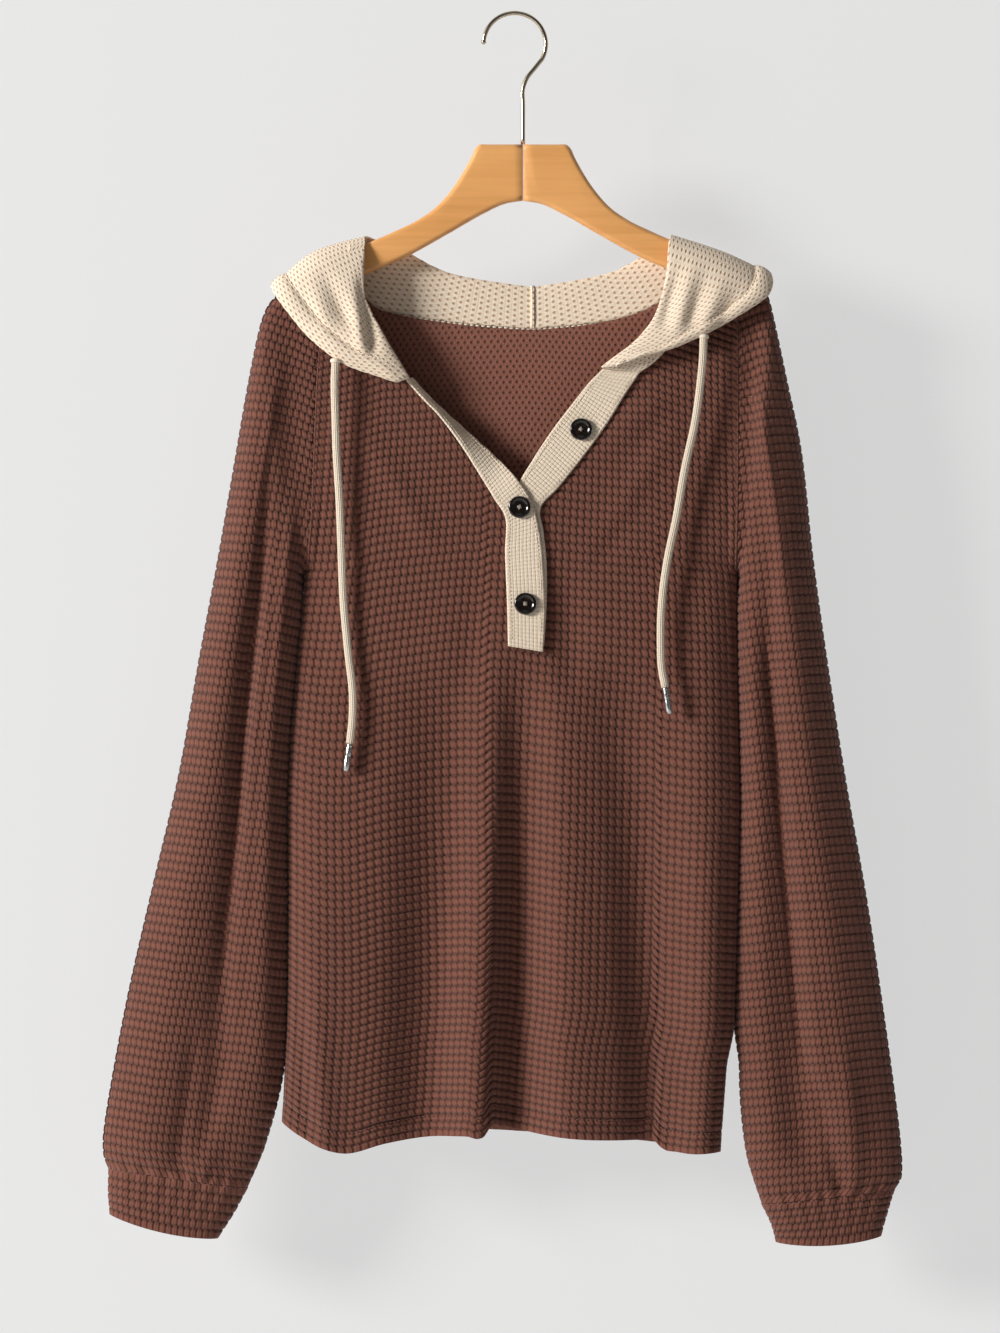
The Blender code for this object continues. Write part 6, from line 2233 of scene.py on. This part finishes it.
@dataclass
class Finishes:
    """The materials, each made once."""

    brown_face: Material = field(default_factory=KnitFinish(
        "brown_knit_face", Pattern.BLOCKS, BROWN_BLOCK, BROWN_SHADED_GROOVE, 0.42, 0.36, 0.10, 0.0014).build)
    brown_back: Material = field(default_factory=KnitFinish(
        "brown_knit_back", Pattern.PITS, BROWN_BACK, BROWN_SHADED_GROOVE, 0.15, 0.05, 0.60, 0.0009, 0.40, 1.5).build)
    cream_face: Material = field(default_factory=KnitFinish(
        "cream_knit_face", Pattern.PITS, CREAM_BLOCK, CREAM_SHADED_GROOVE, 0.12, 0.10, 0.75, 0.0006, 0.36).build)
    cream_band: Material = field(default_factory=KnitFinish(
        "cream_band_face", Pattern.BLOCKS, BAND_BLOCK, CREAM_SHADED_GROOVE, 0.16, 0.04, 0.08, 0.0004, 0.30,
        lean=0.0).build)
    cord: Material = field(default_factory=CordFinish(
        "cream_braid", (0.90, 0.78, 0.63), (0.68, 0.54, 0.40), 2.6).build)
    brown_thread: Material = field(default_factory=CordFinish(
        "brown_thread", (0.19, 0.070, 0.048), (0.11, 0.040, 0.027), 1.0).build)
    cream_thread: Material = field(default_factory=CordFinish(
        "cream_thread", (0.95, 0.82, 0.67), (0.80, 0.66, 0.51), 1.0).build)
    # The buttons' thread is cream; these greyer colours are painted shade over it.
    button_thread: Material = field(default_factory=CordFinish(
        "button_thread", (0.40, 0.34, 0.29), (0.22, 0.18, 0.15), 1.0).build)
    button: Material = field(default_factory=ButtonFinish(
        "dark_button", (0.007, 0.005, 0.004), (0.035, 0.016, 0.010)).build)
    wood_left: Material = field(default_factory=WoodFinish("honey_wood_left", 0.42).build)
    wood_right: Material = field(default_factory=WoodFinish("honey_wood_right", -0.42).build)
    hook_metal: Material = field(default_factory=MetalFinish("hook_metal", (0.62, 0.53, 0.40)).build)
    string_metal: Material = field(default_factory=MetalFinish("string_metal", (0.72, 0.72, 0.72)).build)


def main() -> None:
    """Build every piece in order, then the studio."""
    logging.basicConfig(level=logging.INFO, format="%(name)s %(message)s")
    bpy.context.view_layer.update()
    studio = Studio()
    studio.add_camera()
    finishes = Finishes()
    body = [finishes.brown_face, finishes.brown_back]
    brown, cream = finishes.brown_thread, finishes.cream_thread
    for side, route in STRINGS.items():
        Drawstring(side, route, AGLET_ENDS[side]).build(finishes.cord, finishes.string_metal, cream)

    panels = (
        BodyPanel("front", Facing.FRONT, FRONT_FOLDS, FRONT_CREASES, FRONT_HEM,
                  (FRONT_OPENING_LEFT, FRONT_OPENING_RIGHT), lines=True),
        BodyPanel("back", Facing.BACK, BACK_FOLDS, BACK_CREASES, BACK_HEM,
                  (BACK_NECK_LEFT, BACK_NECK_RIGHT), lines=False),
    )
    cloth = {panel.name: panel.build(body) for panel in panels}
    for side in SIGN:
        cuff = Cuff(side, CUFFS[side])
        cloth["sleeve_" + side] = Sleeve(side, SLEEVES[side]).build(body)
        cloth["cuff_" + side] = cuff.build(body)
        stitches("seam_cuff_" + side, cuff.seam_line(), SEAM_KIND, brown)
        for panel in panels:
            name = f"seam_armhole_{side}_{panel.name}"
            stitches(name, panel.armhole_line(side), SEAM_KIND, brown)
    hood = [HoodHalf(side, HOODS[side], HOOD_CREASES[side]) for side in SIGN]
    for half in hood:
        cloth["hood_" + half.side] = half.build([finishes.cream_face] * 2)
    bands = {name: PlacketBand(f"placket_{name}_band", rows) for name, rows in BANDS.items()}
    for band in bands.values():
        cloth[band.name] = band.build([finishes.cream_band] * 2)
    for place in BUTTONS:
        SewnButton(place, bands[place.band]).build(finishes.button, finishes.button_thread)

    for panel in panels:
        stitches("stitches_hem_" + panel.name, panel.hem_line(), HEM_KIND, brown)
    for half in hood:
        stitches("stitches_neck_" + half.side, half.neck_line(), NECK_KIND, cream)
        for number, line in enumerate(half.stitch_lines()):
            stitches(f"stitches_casing_{half.side}_{number}", line, CASING_KIND, cream)
    for band in bands.values():
        for number, line in enumerate(band.stitch_lines()):
            stitches(f"stitches_{band.name}_{number}", line, BAND_KIND, cream)

    HangerHalf("left").build(finishes.wood_left)
    HangerHalf("right").build(finishes.wood_right)
    Hook().build(finishes.hook_metal)

    studio.build_rest()


if __name__ == "__main__":
    main()
